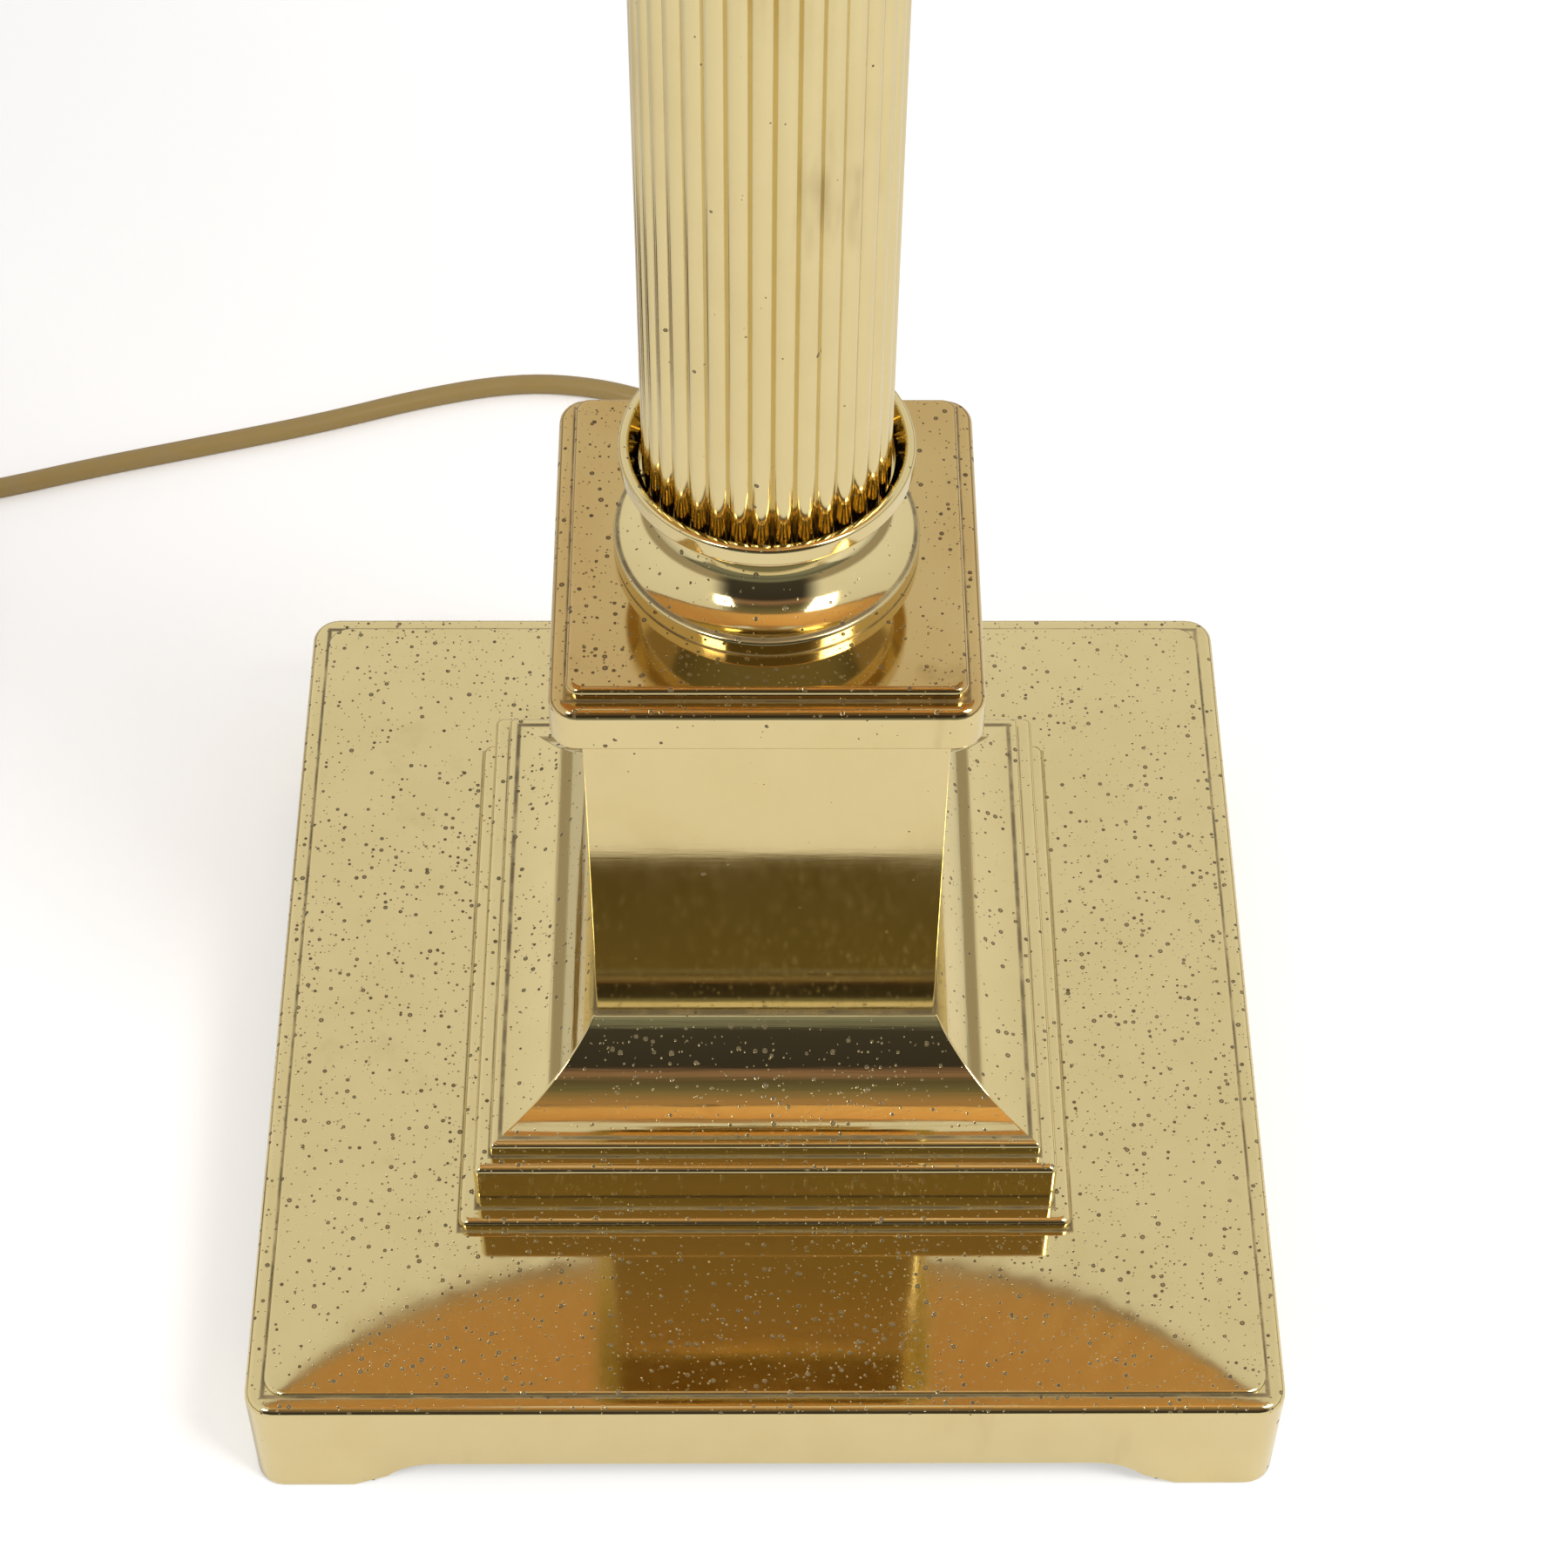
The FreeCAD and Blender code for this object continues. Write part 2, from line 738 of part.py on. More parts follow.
def collar(label, base, up):
    return keep(turned(f"{label}_turning", collar_outline(base, up)), label)


def column_tube():
    """A tube with convex reeds side by side, one of them just left of the front."""
    body = new_body("reeded_tube")
    reed, crest = D["reed_radius"], D["column_radius"]
    half_pitch = math.radians(180.0 / D["reed_count"].value)
    centre = crest - reed
    core = centre * math.cos(half_pitch) + reed / 2
    ring = body_sketch(body, "XY_Plane", circles=[(0, 0, core), (0, 0, D["column_bore"])])
    add_pad(body, ring, D["column_length"])
    turn = math.radians(D["reed_turn"].value)
    reed_sketch = body_sketch(body, "XY_Plane", circles=[
        (centre * math.sin(turn), -centre * math.cos(turn), reed),
    ])
    reed_pad = add_pad(body, reed_sketch, D["column_length"])
    repeat_round(body, reed_pad, "Sheet.reed_count")
    cut_through(body, body_sketch(body, "XY_Plane", circles=[(0, 0, D["column_bore"])]))
    body.setExpression("Placement.Base.z", COLUMN_BOTTOM.text)
    doc.recompute()
    return keep(body, "column_tube")


def centring_discs():
    """The two discs that keep the threaded tube in the middle of the column."""
    discs = []
    for number, bottom in enumerate((COLUMN_BOTTOM, COLUMN_TOP - D["disc_thick"])):
        disc = rod(f"disc_{number}", D["column_bore"] - D["hole_gap"] / 2, bottom, bottom + D["disc_thick"])
        hole = rod(f"disc_hole_{number}", ROD_HOLE, bottom - 1, bottom + D["disc_thick"] + 1)
        discs.append(subtract(f"disc_{number}", disc, hole))
    return keep(unite("centring_discs", *discs), "centring_discs")


def abacus():
    foot_top = ABACUS_BOTTOM + D["abacus_foot"]
    foot = square_box("abacus_foot", D["abacus_half"] - D["abacus_foot_inset"], ABACUS_BOTTOM, foot_top)
    slab = stepped_cap("abacus_slab", foot_top, D["abacus_half"], D["abacus_ledge"] - D["abacus_foot"],
                       D["abacus_step_inset"], D["abacus_height"] - D["abacus_foot"])
    hole = rod("abacus_rod_hole", ROD_HOLE, ABACUS_BOTTOM - 1, ABACUS_TOP + 1)
    return keep(subtract("abacus", unite("abacus_block", foot, slab), hole), "abacus")


def neck():
    foot, waist = D["neck_foot_radius"], D["neck_waist_radius"]
    foot_top = ABACUS_TOP + D["neck_foot_height"]
    rise = D["neck_height"] - D["neck_foot_height"]
    shoulder = foot_top + rise * 0.72
    return keep(turned("neck_turning", [
        (ROD_HOLE, ABACUS_TOP),
        (foot, ABACUS_TOP),
        (foot, foot_top),
        (foot - 1.5, foot_top), Arc((foot - waist) * 1.15, left=False), (waist, shoulder),
        (waist, HOLDER_BOTTOM),
        (ROD_HOLE, HOLDER_BOTTOM),
    ]), "neck")


def centre_tube():
    top = HOLDER_BOTTOM + D["holder_entry"]
    outer = rod("tube_outer", D["tube_radius"], D["tube_bottom"], top)
    bore = rod("tube_inner", D["tube_bore"], D["tube_bottom"] - 1, top + 1)
    return keep(subtract("centre_tube", outer, bore), "centre_tube")


def tube_washer():
    top = BALLAST_BOTTOM
    bottom = top - D["washer_thick"]
    disc = rod("washer_disc", D["washer_radius"], bottom, top)
    hole = rod("washer_hole", ROD_HOLE, bottom - 1, top + 1)
    return keep(subtract("tube_washer", disc, hole), "tube_washer")


def tube_nut():
    top = BALLAST_BOTTOM - D["washer_thick"]
    prism = doc.addObject("Part::Prism", "nut_prism")
    prism.Polygon = 6
    prism.setExpression("Circumradius", (D["nut_flats"] / math.sqrt(3)).text)
    prism.setExpression("Height", D["nut_height"].text)
    prism.setExpression("Placement.Base.z", (top - D["nut_height"]).text)
    hole = rod("nut_hole", D["tube_radius"] + D["thread_gap"], top - D["nut_height"] - 1, top + 1)
    return keep(subtract("tube_nut", prism, hole), "tube_nut")


# ---- lampholder -----------------------------------------------------------------------------------

SWITCH_MIDDLE = HOLDER_BOTTOM + D["switch_height"]


def holder_cap():
    """The lampholder's lower half: a threaded boss, a bowl and a sleeve with a slot for the switch."""
    r, wall, boss = D["holder_radius"], D["holder_wall"], D["neck_waist_radius"]
    bore = D["tube_radius"] + D["thread_gap"]
    z0, shoulder = HOLDER_BOTTOM, HOLDER_BOTTOM + D["holder_entry"]
    bowl = r - boss
    brim = shoulder - wall + bowl
    shell = turned("holder_bowl", [
        (bore, z0),
        (boss, z0),
        (boss, shoulder - wall), Arc(bowl),
        (r, brim),
        (r, SHELL_BOTTOM),
        (r - wall, SHELL_BOTTOM),
        (r - wall, brim), Arc(bowl - wall, left=False),
        (boss, shoulder),
        (bore, shoulder),
    ])
    half = D["switch_width"] / 2 + D["switch_gap"]
    tall = D["switch_thick"] / 2 + D["switch_gap"]
    slot = box("switch_slot", (-(r + 2), -half, SWITCH_MIDDLE - tall), (r + 2, half, SWITCH_MIDDLE + tall))
    return keep(subtract("holder_cap", shell, slot), "holder_cap")


def switch_bar():
    """The push-through bar; at rest it stands out further on the left."""
    half = D["switch_width"] / 2
    tall = D["switch_thick"] / 2
    reach = D["switch_length"] / 2
    shift = D["switch_travel"] / 2
    bar = box("switch_plain_bar", (-reach - shift, -half, SWITCH_MIDDLE - tall),
              (reach - shift, half, SWITCH_MIDDLE + tall))
    rounded = doc.addObject("Part::Fillet", "switch_rounded")
    rounded.Base = bar
    doc.recompute()
    edges = [(i + 1, 1.2, 1.2) for i, edge in enumerate(bar.Shape.Edges)
             if abs(abs(edge.CenterOfMass.x - bar.Shape.BoundBox.Center.x) - reach.value) < SMALL]
    rounded.Edges = edges
    doc.recompute()
    return keep(rounded, "switch_bar")


def holder_shell():
    r, wall = D["holder_radius"], D["holder_wall"]
    seat = SHELL_BOTTOM + D["seat_start"]
    return keep(turned("holder_sleeve", [
        (r - wall, SHELL_BOTTOM),
        (r, SHELL_BOTTOM),
        (r, seat),
        (D["seat_radius"], seat),
        (D["seat_radius"], SEAT_TOP),
        (r, SEAT_TOP),
        (r, SHELL_TOP),
        (r - wall, SHELL_TOP),
    ]), "holder_shell")


def holder_insert():
    """The ceramic cup that carries the screw shell and the centre contact."""
    inner = D["socket_radius"] + D["socket_wall"]
    cup = inner + D["insert_wall"]
    flange = D["holder_radius"] - D["holder_wall"] - D["thread_gap"]
    bottom = SHELL_BOTTOM - D["insert_base"]
    return keep(turned("insert_cup", [
        (ZERO, bottom),
        (flange, bottom),
        (flange, SOCKET_FLOOR),
        (cup, SOCKET_FLOOR),
        (cup, SOCKET_TOP),
        (inner, SOCKET_TOP),
        (inner, SOCKET_FLOOR),
        (ZERO, SOCKET_FLOOR),
    ]), "holder_insert")


def socket_thread():
    """The screw shell; it starts above the centre contact."""
    inner = D["socket_radius"]
    outer = rod("socket_outer", inner + D["socket_wall"], THREAD_BOTTOM, SOCKET_TOP)
    hole = rod("socket_hole", inner, THREAD_BOTTOM - 1, SOCKET_TOP + 1)
    return keep(subtract("socket_thread", outer, hole), "socket_thread")


def centre_contact():
    top = SOCKET_FLOOR + D["contact_height"]
    return keep(rod("contact_disc", D["contact_radius"], SOCKET_FLOOR, top), "centre_contact")


# ---- shade ----------------------------------------------------------------------------------------

SHADE_TOP = D["shade_bottom"] + D["shade_height"]
SHADE_SLOPE = (D["shade_bottom_radius"] - D["shade_top_radius"]) / D["shade_height"]


def shade_radius(height):
    return D["shade_bottom_radius"] - (height - D["shade_bottom"]) * SHADE_SLOPE


def wire_place(height):
    """How far out a frame wire lies at a height, inside the cover."""
    return shade_radius(height) - D["shade_thick"] - D["wire_gap"] - D["wire_radius"] * 1.1


def ring_shape(height):
    """A wire ring just inside the cover."""
    return Part.makeTorus(wire_place(height).value, D["wire_radius"].value, Vector(0, 0, height.value))


BOTTOM_WIRE = D["shade_bottom"] + D["wire_radius"] * 1.5
TOP_WIRE = SHADE_TOP - D["wire_radius"] * 1.5


# How far from the bottom ring's middle a spoke ends, as a share of the wire's radius.
WELD_GAP = 1.03
# Radius of a lug as a share of the hub's thickness.
LUG_SHARE = 0.42


def gimbal_spoke(angle):
    """A lug on the hub, a bend and a straight wire that ends against the cover's bottom ring."""
    wire = D["wire_radius"].value
    level = Vector(0, 0, (GIMBAL_BOTTOM + D["gimbal_thick"] / 2).value)
    way = Vector(math.cos(angle), math.sin(angle), 0)
    bend = way * (D["shade_ring_radius"] + D["wire_gap"] + D["wire_radius"]).value + level
    ring = way * wire_place(BOTTOM_WIRE).value + Vector(0, 0, BOTTOM_WIRE.value)
    end = ring - (ring - bend).normalize() * wire * WELD_GAP
    lug_start = way * (D["gimbal_outer"] - D["wire_radius"]).value + level
    lug = Part.makeCylinder(D["gimbal_thick"].value * LUG_SHARE, (bend - lug_start).Length, lug_start, way)
    spoke = Part.makeCylinder(wire, (end - bend).Length, bend, end - bend)
    return lug.fuse([Part.makeSphere(wire, bend), spoke])


def shade_gimbal():
    """The hub that sits on the lampholder, with the spokes that carry the bottom ring."""
    base, tall = Vector(0, 0, GIMBAL_BOTTOM.value), D["gimbal_thick"].value
    shape = Part.makeCylinder(D["gimbal_outer"].value, tall, base)
    count = round(D["spoke_count"].value)
    for number in range(count):
        shape = shape.fuse(gimbal_spoke(2 * math.pi * number / count + math.pi / 2))
    bore = Part.makeCylinder(D["gimbal_inner"].value, tall, base)
    return fixed_shape("shade_gimbal", shape.cut(bore))


def shade_cover():
    thick = D["shade_thick"]
    return keep(turned("cover_cone", [
        (D["shade_bottom_radius"] - thick, D["shade_bottom"]),
        (D["shade_bottom_radius"], D["shade_bottom"]),
        (D["shade_top_radius"], SHADE_TOP),
        (D["shade_top_radius"] - thick, SHADE_TOP),
    ]), "shade_cover")


def shade_trim(label, bottom, top):
    gap, thick = D["trim_gap"], D["trim_thick"]
    return keep(turned(f"{label}_band", [
        (shade_radius(bottom) + gap, bottom),
        (shade_radius(bottom) + gap + thick, bottom),
        (shade_radius(top) + gap + thick, top),
        (shade_radius(top) + gap, top),
    ]), label)


def shade_ring():
    """The knurled ring that holds the gimbal down on the lampholder's seat."""
    bottom = GIMBAL_TOP + D["gimbal_gap"]
    outer = rod("shade_ring_disc", D["shade_ring_radius"], bottom, bottom + D["shade_ring_height"])
    hole = rod("shade_ring_hole", D["holder_radius"] + D["thread_gap"], bottom - 1,
               bottom + D["shade_ring_height"] + 1)
    return keep(subtract("shade_ring", outer, hole), "shade_ring")


# ---- flex -----------------------------------------------------------------------------------------

FLEX_RADIUS = D["flex_diameter"].value / 2
CORE_RADIUS = D["core_diameter"].value / 2
BUSH_TIP = D["base_half"] + D["bush_flange_thick"] + D["bush_length"]
# Height of the flex's middle where it runs along the ballast's underside.
UNDER_BALLAST = BALLAST_BOTTOM.value - FLEX_RADIUS - D["hole_gap"].value
SHEATH_END = (D["clip_place"] - D["clip_width"]).value


def arc_edge(start, heading, end):
    """An arc that leaves start along heading and reaches end, or a line where it would be straight."""
    chord = end - start
    half_angle = heading.getAngle(chord)
    if half_angle < 1e-4:
        return Part.LineSegment(start, end).toShape()
    across = heading - chord * (heading.dot(chord) / chord.dot(chord))
    across.normalize()
    middle = (start + end) * 0.5 + across * (chord.Length / 2 * math.tan(half_angle / 2))
    return Part.Arc(start, middle, end).toShape()


def biarc(start, start_way, end, end_way):
    """Two arcs that join two points and keep both headings."""
    v = end - start
    b = v.dot(start_way + end_way)
    a = 2 * (1 - start_way.dot(end_way))
    reach = v.dot(v) / (b + math.sqrt(b * b + a * v.dot(v)))
    joint = (start + start_way * reach + end - end_way * reach) * 0.5
    joint_way = (end - end_way * reach - start - start_way * reach).normalize()
    return [arc_edge(start, start_way, joint), arc_edge(joint, joint_way, end)]


def rounded_path(points, name):
    """Straight runs joined by tangent arcs, as large as the runs allow; prints the arcs' radii."""
    edges = []
    radii = []
    place = points[0]
    for before, corner, after in zip(points, points[1:], points[2:]):
        arriving = (corner - before).normalize()
        leaving = (after - corner).normalize()
        setback = 0.45 * min((corner - before).Length, (after - corner).Length)
        radii.append(setback / math.tan(arriving.getAngle(leaving) / 2))
        arc_start = corner - arriving * setback
        arc_end = corner + leaving * setback
        edges.append(Part.LineSegment(place, arc_start).toShape())
        edges.append(arc_edge(arc_start, arriving, arc_end))
        place = arc_end
    edges.append(Part.LineSegment(place, points[-1]).toShape())
    print(f"{name}: arc radii {[round(r, 1) for r in radii]}")
    return edges


def sweep_round(edges, start, way, radius, name):
    """A round tube along a tangent path; compares its volume with its section times its length."""
    path = Part.Wire(edges)
    ring = Part.Wire(Part.makeCircle(radius, start, way))
    tube = path.makePipeShell([ring], True, False)
    expected = math.pi * radius**2 * path.Length
    print(f"{name}: length {path.Length:.1f}, volume ratio {tube.Volume / expected:.4f}")
    return tube, path


def coil_pitch():
    return (D["flex_diameter"] + D["coil_gap"]).value


def coil_place(quarter):
    """The coil's middle line and its heading after a number of quarter turns.

    It spirals in on the table, climbs a layer in the half turn in which the spiral reverses, and spirals
    out again on top.
    """
    pitch, turns = coil_pitch(), round(D["coil_turns"].value)
    reversal = 2 * turns
    outer = D["coil_mid_radius"].value + pitch * turns / 4
    radius = outer - pitch * (reversal - abs(reversal - quarter)) / 4
    climbed = min(max((quarter - reversal + 1) / 2, 0.0), 1.0)
    around = 2 * math.pi * radius
    drift = 0.0 if quarter == reversal else math.copysign(pitch / around, quarter - reversal)
    slope = 2 * pitch / (math.pi * radius) if quarter == reversal else 0.0
    angle = math.radians(COIL_START + 90.0 * quarter)
    out = Vector(math.cos(angle), math.sin(angle), 0)
    along = Vector(-math.sin(angle), math.cos(angle), 0)
    middle = Vector(*COIL_CENTRE, FLEX_RADIUS + pitch * climbed)
    return middle + out * radius, (along + out * drift + Vector(0, 0, slope)).normalize()


def coil_ends():
    """Start and end of the coil's solid with their headings: one diameter straight beyond the turns."""
    lead = D["flex_diameter"].value
    first, first_way = coil_place(0)
    last, last_way = coil_place(4 * round(D["coil_turns"].value) + 1)
    return first - first_way * lead, first_way, last + last_way * lead, last_way


def coil_self_gap(path):
    """Least gap between two turns of the coil, measured on points of its middle line."""
    step = 1.5
    samples = path.discretize(Distance=step)
    apart = int(3 * D["flex_diameter"].value / step)
    least = min((a - b).Length for i, a in enumerate(samples) for b in samples[i + apart:])
    return least - D["flex_diameter"].value


def flex_coil():
    places = [coil_place(quarter) for quarter in range(4 * round(D["coil_turns"].value) + 2)]
    start, way, end, _ = coil_ends()
    edges = [Part.LineSegment(start, places[0][0]).toShape()]
    for (a, a_way), (b, b_way) in zip(places, places[1:]):
        edges.extend(biarc(a, a_way, b, b_way))
    edges.append(Part.LineSegment(places[-1][0], end).toShape())
    tube, path = sweep_round(edges, start, way, FLEX_RADIUS, "flex_coil")
    print(f"flex_coil: least gap to itself {coil_self_gap(path):.2f}")
    return fixed_shape("flex_coil", tube)


def flex_points(route):
    return [Vector(x, y, FLEX_RADIUS + rise) for x, y, rise in route]


def flex_run():
    """The stretch over the table; it leaves the bush straight and meets the coil straight."""
    start = Vector(0, BUSH_TIP.value, D["flex_exit_height"].value)
    end, way, _, _ = coil_ends()
    lead = 3 * D["flex_diameter"].value
    points = [start] + flex_points(FLEX_ROUTE) + [end - way * lead, end]
    first_way = (points[1] - start).normalize()
    tube, _ = sweep_round(rounded_path(points, "flex_run"), start, first_way, FLEX_RADIUS, "flex_run")
    return fixed_shape("flex_run", tube)


def flex_tail():
    _, _, start, way = coil_ends()
    lead = 2 * D["flex_diameter"].value
    end = Vector(*PLUG_PLACE, D["plug_entry_height"].value)
    points = [start, start + way * lead] + flex_points(TAIL_ROUTE) + [end + Vector(0, lead, 0), end]
    tube, _ = sweep_round(rounded_path(points, "flex_tail"), start, way, FLEX_RADIUS, "flex_tail")
    return fixed_shape("flex_tail", tube)


def cord_bush():
    """The moulded strain relief: a flange each side of the wall and a tapered tail outside."""
    flange, plug = D["bush_flange_radius"], D["bush_hole_radius"] - D["bush_gap"]
    inside, outside = D["base_half"] - D["base_wall"], D["base_half"]
    thick, bore = D["bush_flange_thick"], D["flex_diameter"] / 2 + D["bush_gap"]
    body = new_body("bush")
    sketch = body_sketch(body, "XY_Plane", [[
        (bore, inside - thick),
        (flange, inside - thick),
        (flange, inside),
        (plug, inside),
        (plug, outside),
        (flange, outside),
        (flange, outside + thick),
        (plug, outside + thick),
        (D["bush_tip_radius"], BUSH_TIP),
        (bore, BUSH_TIP),
    ]])
    turn = body.newObject("PartDesign::Revolution", "bush_turn")
    turn.Profile = sketch
    turn.ReferenceAxis = (sketch, ["V_Axis"])
    turn.Angle = 360
    body.setExpression("Placement.Base.z", D["flex_exit_height"].text)
    doc.recompute()
    return keep(body, "cord_bush")


def inner_flex():
    """The flex through the bush and along the ballast; its sheath ends just past the clip."""
    wall = (D["base_half"] - D["base_wall"]).value
    exit_height = D["flex_exit_height"].value
    lead = D["flex_diameter"].value * 1.5
    dip = D["hole_gap"].value
    points = [
        Vector(0, BUSH_TIP.value, exit_height),
        Vector(0, wall - lead, exit_height),
        Vector(0, D["ballast_half"].value + lead, UNDER_BALLAST),
        Vector(0, (D["clip_place"] + D["clip_width"]).value, UNDER_BALLAST - dip),
        Vector(0, SHEATH_END, UNDER_BALLAST),
    ]
    tube, _ = sweep_round(rounded_path(points, "inner_flex"), points[0], Vector(0, -1, 0), FLEX_RADIUS,
                          "inner_flex")
    return fixed_shape("inner_flex", tube)


def core(label, side):
    """A live core: from the sheath down to the tube's mouth, up the tube and to its terminal."""
    x = side * (CORE_RADIUS + D["core_gap"].value)
    bend, lead = D["core_bend"].value, D["core_lead"].value
    mouth = (D["tube_bottom"] - D["core_gap"]).value
    low = mouth - bend
    top = (HOLDER_BOTTOM + D["holder_entry"]).value
    beside = side * D["core_terminal"].value
    start = Vector(x, SHEATH_END, UNDER_BALLAST - CORE_RADIUS * 0.6)
    lower = [start, Vector(x, SHEATH_END - lead, start.z), Vector(x, bend + lead * 2, low + CORE_RADIUS)]
    turn_start = Vector(x, bend, low)
    edges = rounded_path(lower + [Vector(x, bend + lead, low), turn_start], label)
    turn_end = Vector(x, 0, mouth)
    edges.append(arc_edge(turn_start, Vector(0, -1, 0), turn_end))
    upper = [turn_end, Vector(x, 0, top + CORE_RADIUS), Vector(x, beside, top + lead * 1.4),
             Vector(x, beside, (SHELL_BOTTOM - D["insert_base"]).value)]
    edges.extend(rounded_path(upper, label))
    way = (lower[1] - start).normalize()
    tube, _ = sweep_round(edges, start, way, CORE_RADIUS, label)
    return fixed_shape(label, tube)


def earth_core():
    """The earth core, from the sheath to the barrel of its tag."""
    start = Vector(0, SHEATH_END, UNDER_BALLAST + CORE_RADIUS * 1.2)
    barrel = earth_barrel()
    out = D["earth_out"].value
    lead_end = Vector(0, SHEATH_END - D["core_lead"].value, start.z)
    path = rounded_path([start, lead_end, Vector(-0.35 * out, barrel.y, barrel.z), barrel], "core_earth")
    tube, _ = sweep_round(path, start, Vector(0, -1, 0), CORE_RADIUS, "core_earth")
    return fixed_shape("core_earth", tube)


def earth_barrel():
    """Middle of the mouth of the earth tag's barrel."""
    drop = D["tag_thick"].value + CORE_RADIUS
    reach = D["tag_radius"].value + D["tag_barrel"].value
    return Vector(-D["earth_out"].value + reach, D["earth_back"].value, BALLAST_BOTTOM.value - drop)


def earth_tag():
    """A ring tag against the ballast, with a barrel that holds the core."""
    z, thick = BALLAST_BOTTOM, D["tag_thick"]
    x, y = -D["earth_out"], D["earth_back"]
    ring = rod("tag_ring", D["tag_radius"], z - thick, z, x, y)
    half = D["core_diameter"] / 2 + D["core_gap"]
    reach = D["tag_radius"] + D["tag_barrel"]
    tongue = box("tag_tongue", (x + D["tag_radius"] * 0.6, y - half, z - thick), (x + reach, y + half, z))
    barrel = box("tag_barrel", (x + D["tag_radius"] + 1, y - half, z - thick * 2 - D["core_diameter"]),
                 (x + reach, y + half, z - thick))
    hole = rod("tag_hole", D["clip_screw_radius"] + 0.1, z - thick - 1, z + 1, x, y)
    return keep(subtract("earth_tag", unite("tag_solid", ring, tongue, barrel), hole), "earth_tag")


def flex_clip():
    """A saddle that holds the flex against the ballast, with its two screws."""
    z = BALLAST_BOTTOM
    half, width, thick = D["clip_half_span"], D["clip_width"] / 2, D["clip_thick"]
    y = D["clip_place"]
    hump = D["flex_diameter"] / 2 + 0.4
    drop = z - D["flex_diameter"] - 0.8
    strap = box("clip_strap", (-half, y - width, z - thick), (half, y + width, z))
    saddle = box("clip_saddle", (-(hump + thick), y - width, drop - thick), (hump + thick, y + width, z))
    room = box("clip_room", (-hump, y - width - 1, drop), (hump, y + width + 1, z + 1))
    holes = [rod(f"clip_hole_{n}", D["clip_screw_radius"] + 0.2, z - thick - 1, z + 1,
                 side * D["clip_screw_spread"], y) for n, side in enumerate((-1, 1))]
    return keep(subtract("flex_clip", unite("clip_solid", strap, saddle), room, *holes), "flex_clip")


def ballast_screw(name, x, y, under):
    """A cheese-head screw up into the ballast through a sheet of a thickness."""
    z = BALLAST_BOTTOM - under
    head = rod(f"{name}_head", D["clip_head_radius"], z - D["clip_head_height"], z, x, y)
    shank = rod(f"{name}_shank", D["clip_screw_radius"] - D["thread_gap"], z,
                BALLAST_BOTTOM + CLIP_SCREW_DEPTH - 1, x, y)
    return unite(name, head, shank)


def clip_screws():
    screws = [ballast_screw(f"clip_screw_{number}", side * D["clip_screw_spread"], D["clip_place"],
                            D["clip_thick"]) for number, side in enumerate((-1, 1))]
    return keep(unite("clip_screws", *screws), "clip_screws")


def earth_screw():
    return keep(ballast_screw("earth", -D["earth_out"], D["earth_back"], D["tag_thick"]), "earth_screw")


# ---- plug -----------------------------------------------------------------------------------------


def plug_outline():
    """Plan of the plug about its own middle, with round shoulders at the end where the flex enters."""
    half, reach = D["plug_width"] / 2, D["plug_long"] / 2
    corner, shoulder = D["plug_corner"], D["plug_shoulder"]
    right = [
        (half - corner, -reach), Arc(corner),
        (half, -reach + corner),
        (half, reach - shoulder), Arc(shoulder),
        (half - shoulder, reach),
    ]
    return mirrored_outline(right)


def plug_middle():
    return Vector(PLUG_PLACE[0], PLUG_PLACE[1] - D["plug_long"].value / 2, 0)


def plug_half(name, bottom, top, rounded_end):
    """One moulding of the plug; its outer face's edge is rounded over."""
    body = new_body(name)
    pad = add_pad(body, body_sketch(body, "XY_Plane", [plug_outline()]), top - bottom)
    faces = range(len(pad.Shape.Faces))
    outer = rounded_end(faces, key=lambda n: pad.Shape.Faces[n].CenterOfMass.z)
    rounding = body.newObject("PartDesign::Fillet", f"{name}_edge")
    rounding.Base = (pad, [f"Face{outer + 1}"])
    rounding.setExpression("Radius", "Sheet.plug_edge")
    body.Placement = Placement(plug_middle() + Vector(0, 0, bottom.value), Rotation())
    doc.recompute()
    return body


def pin(name, x, y, wide, thick, tall):
    place = plug_middle()
    low = (x - wide / 2 + place.x, y - thick / 2 + place.y, D["plug_thick"])
    high = (x + wide / 2 + place.x, y + thick / 2 + place.y, D["plug_thick"] + tall)
    return box(name, low, high)


def plug_pins():
    """The two line pins are across the plug on the flex's side, the earth pin on the far side."""
    row = D["pin_row_gap"] / 2
    pins = [pin("earth_pin", ZERO, -row, D["earth_pin_thick"], D["earth_pin_wide"], D["earth_pin_long"])]
    for number, side in enumerate((-1, 1)):
        pins.append(pin(f"line_pin_{number}", side * D["pin_spread"], row, D["line_pin_wide"],
                        D["line_pin_thick"], D["line_pin_long"]))
    return keep(unite("plug_pins", *pins), "plug_pins")


def plug_screw():
    place = plug_middle()
    top = D["plug_thick"] + D["plug_screw_height"]
    return keep(rod("plug_screw_head", D["plug_screw_radius"], D["plug_thick"], top, place.x, place.y),
                "plug_screw")


# ---- build ----------------------------------------------------------------------------------------


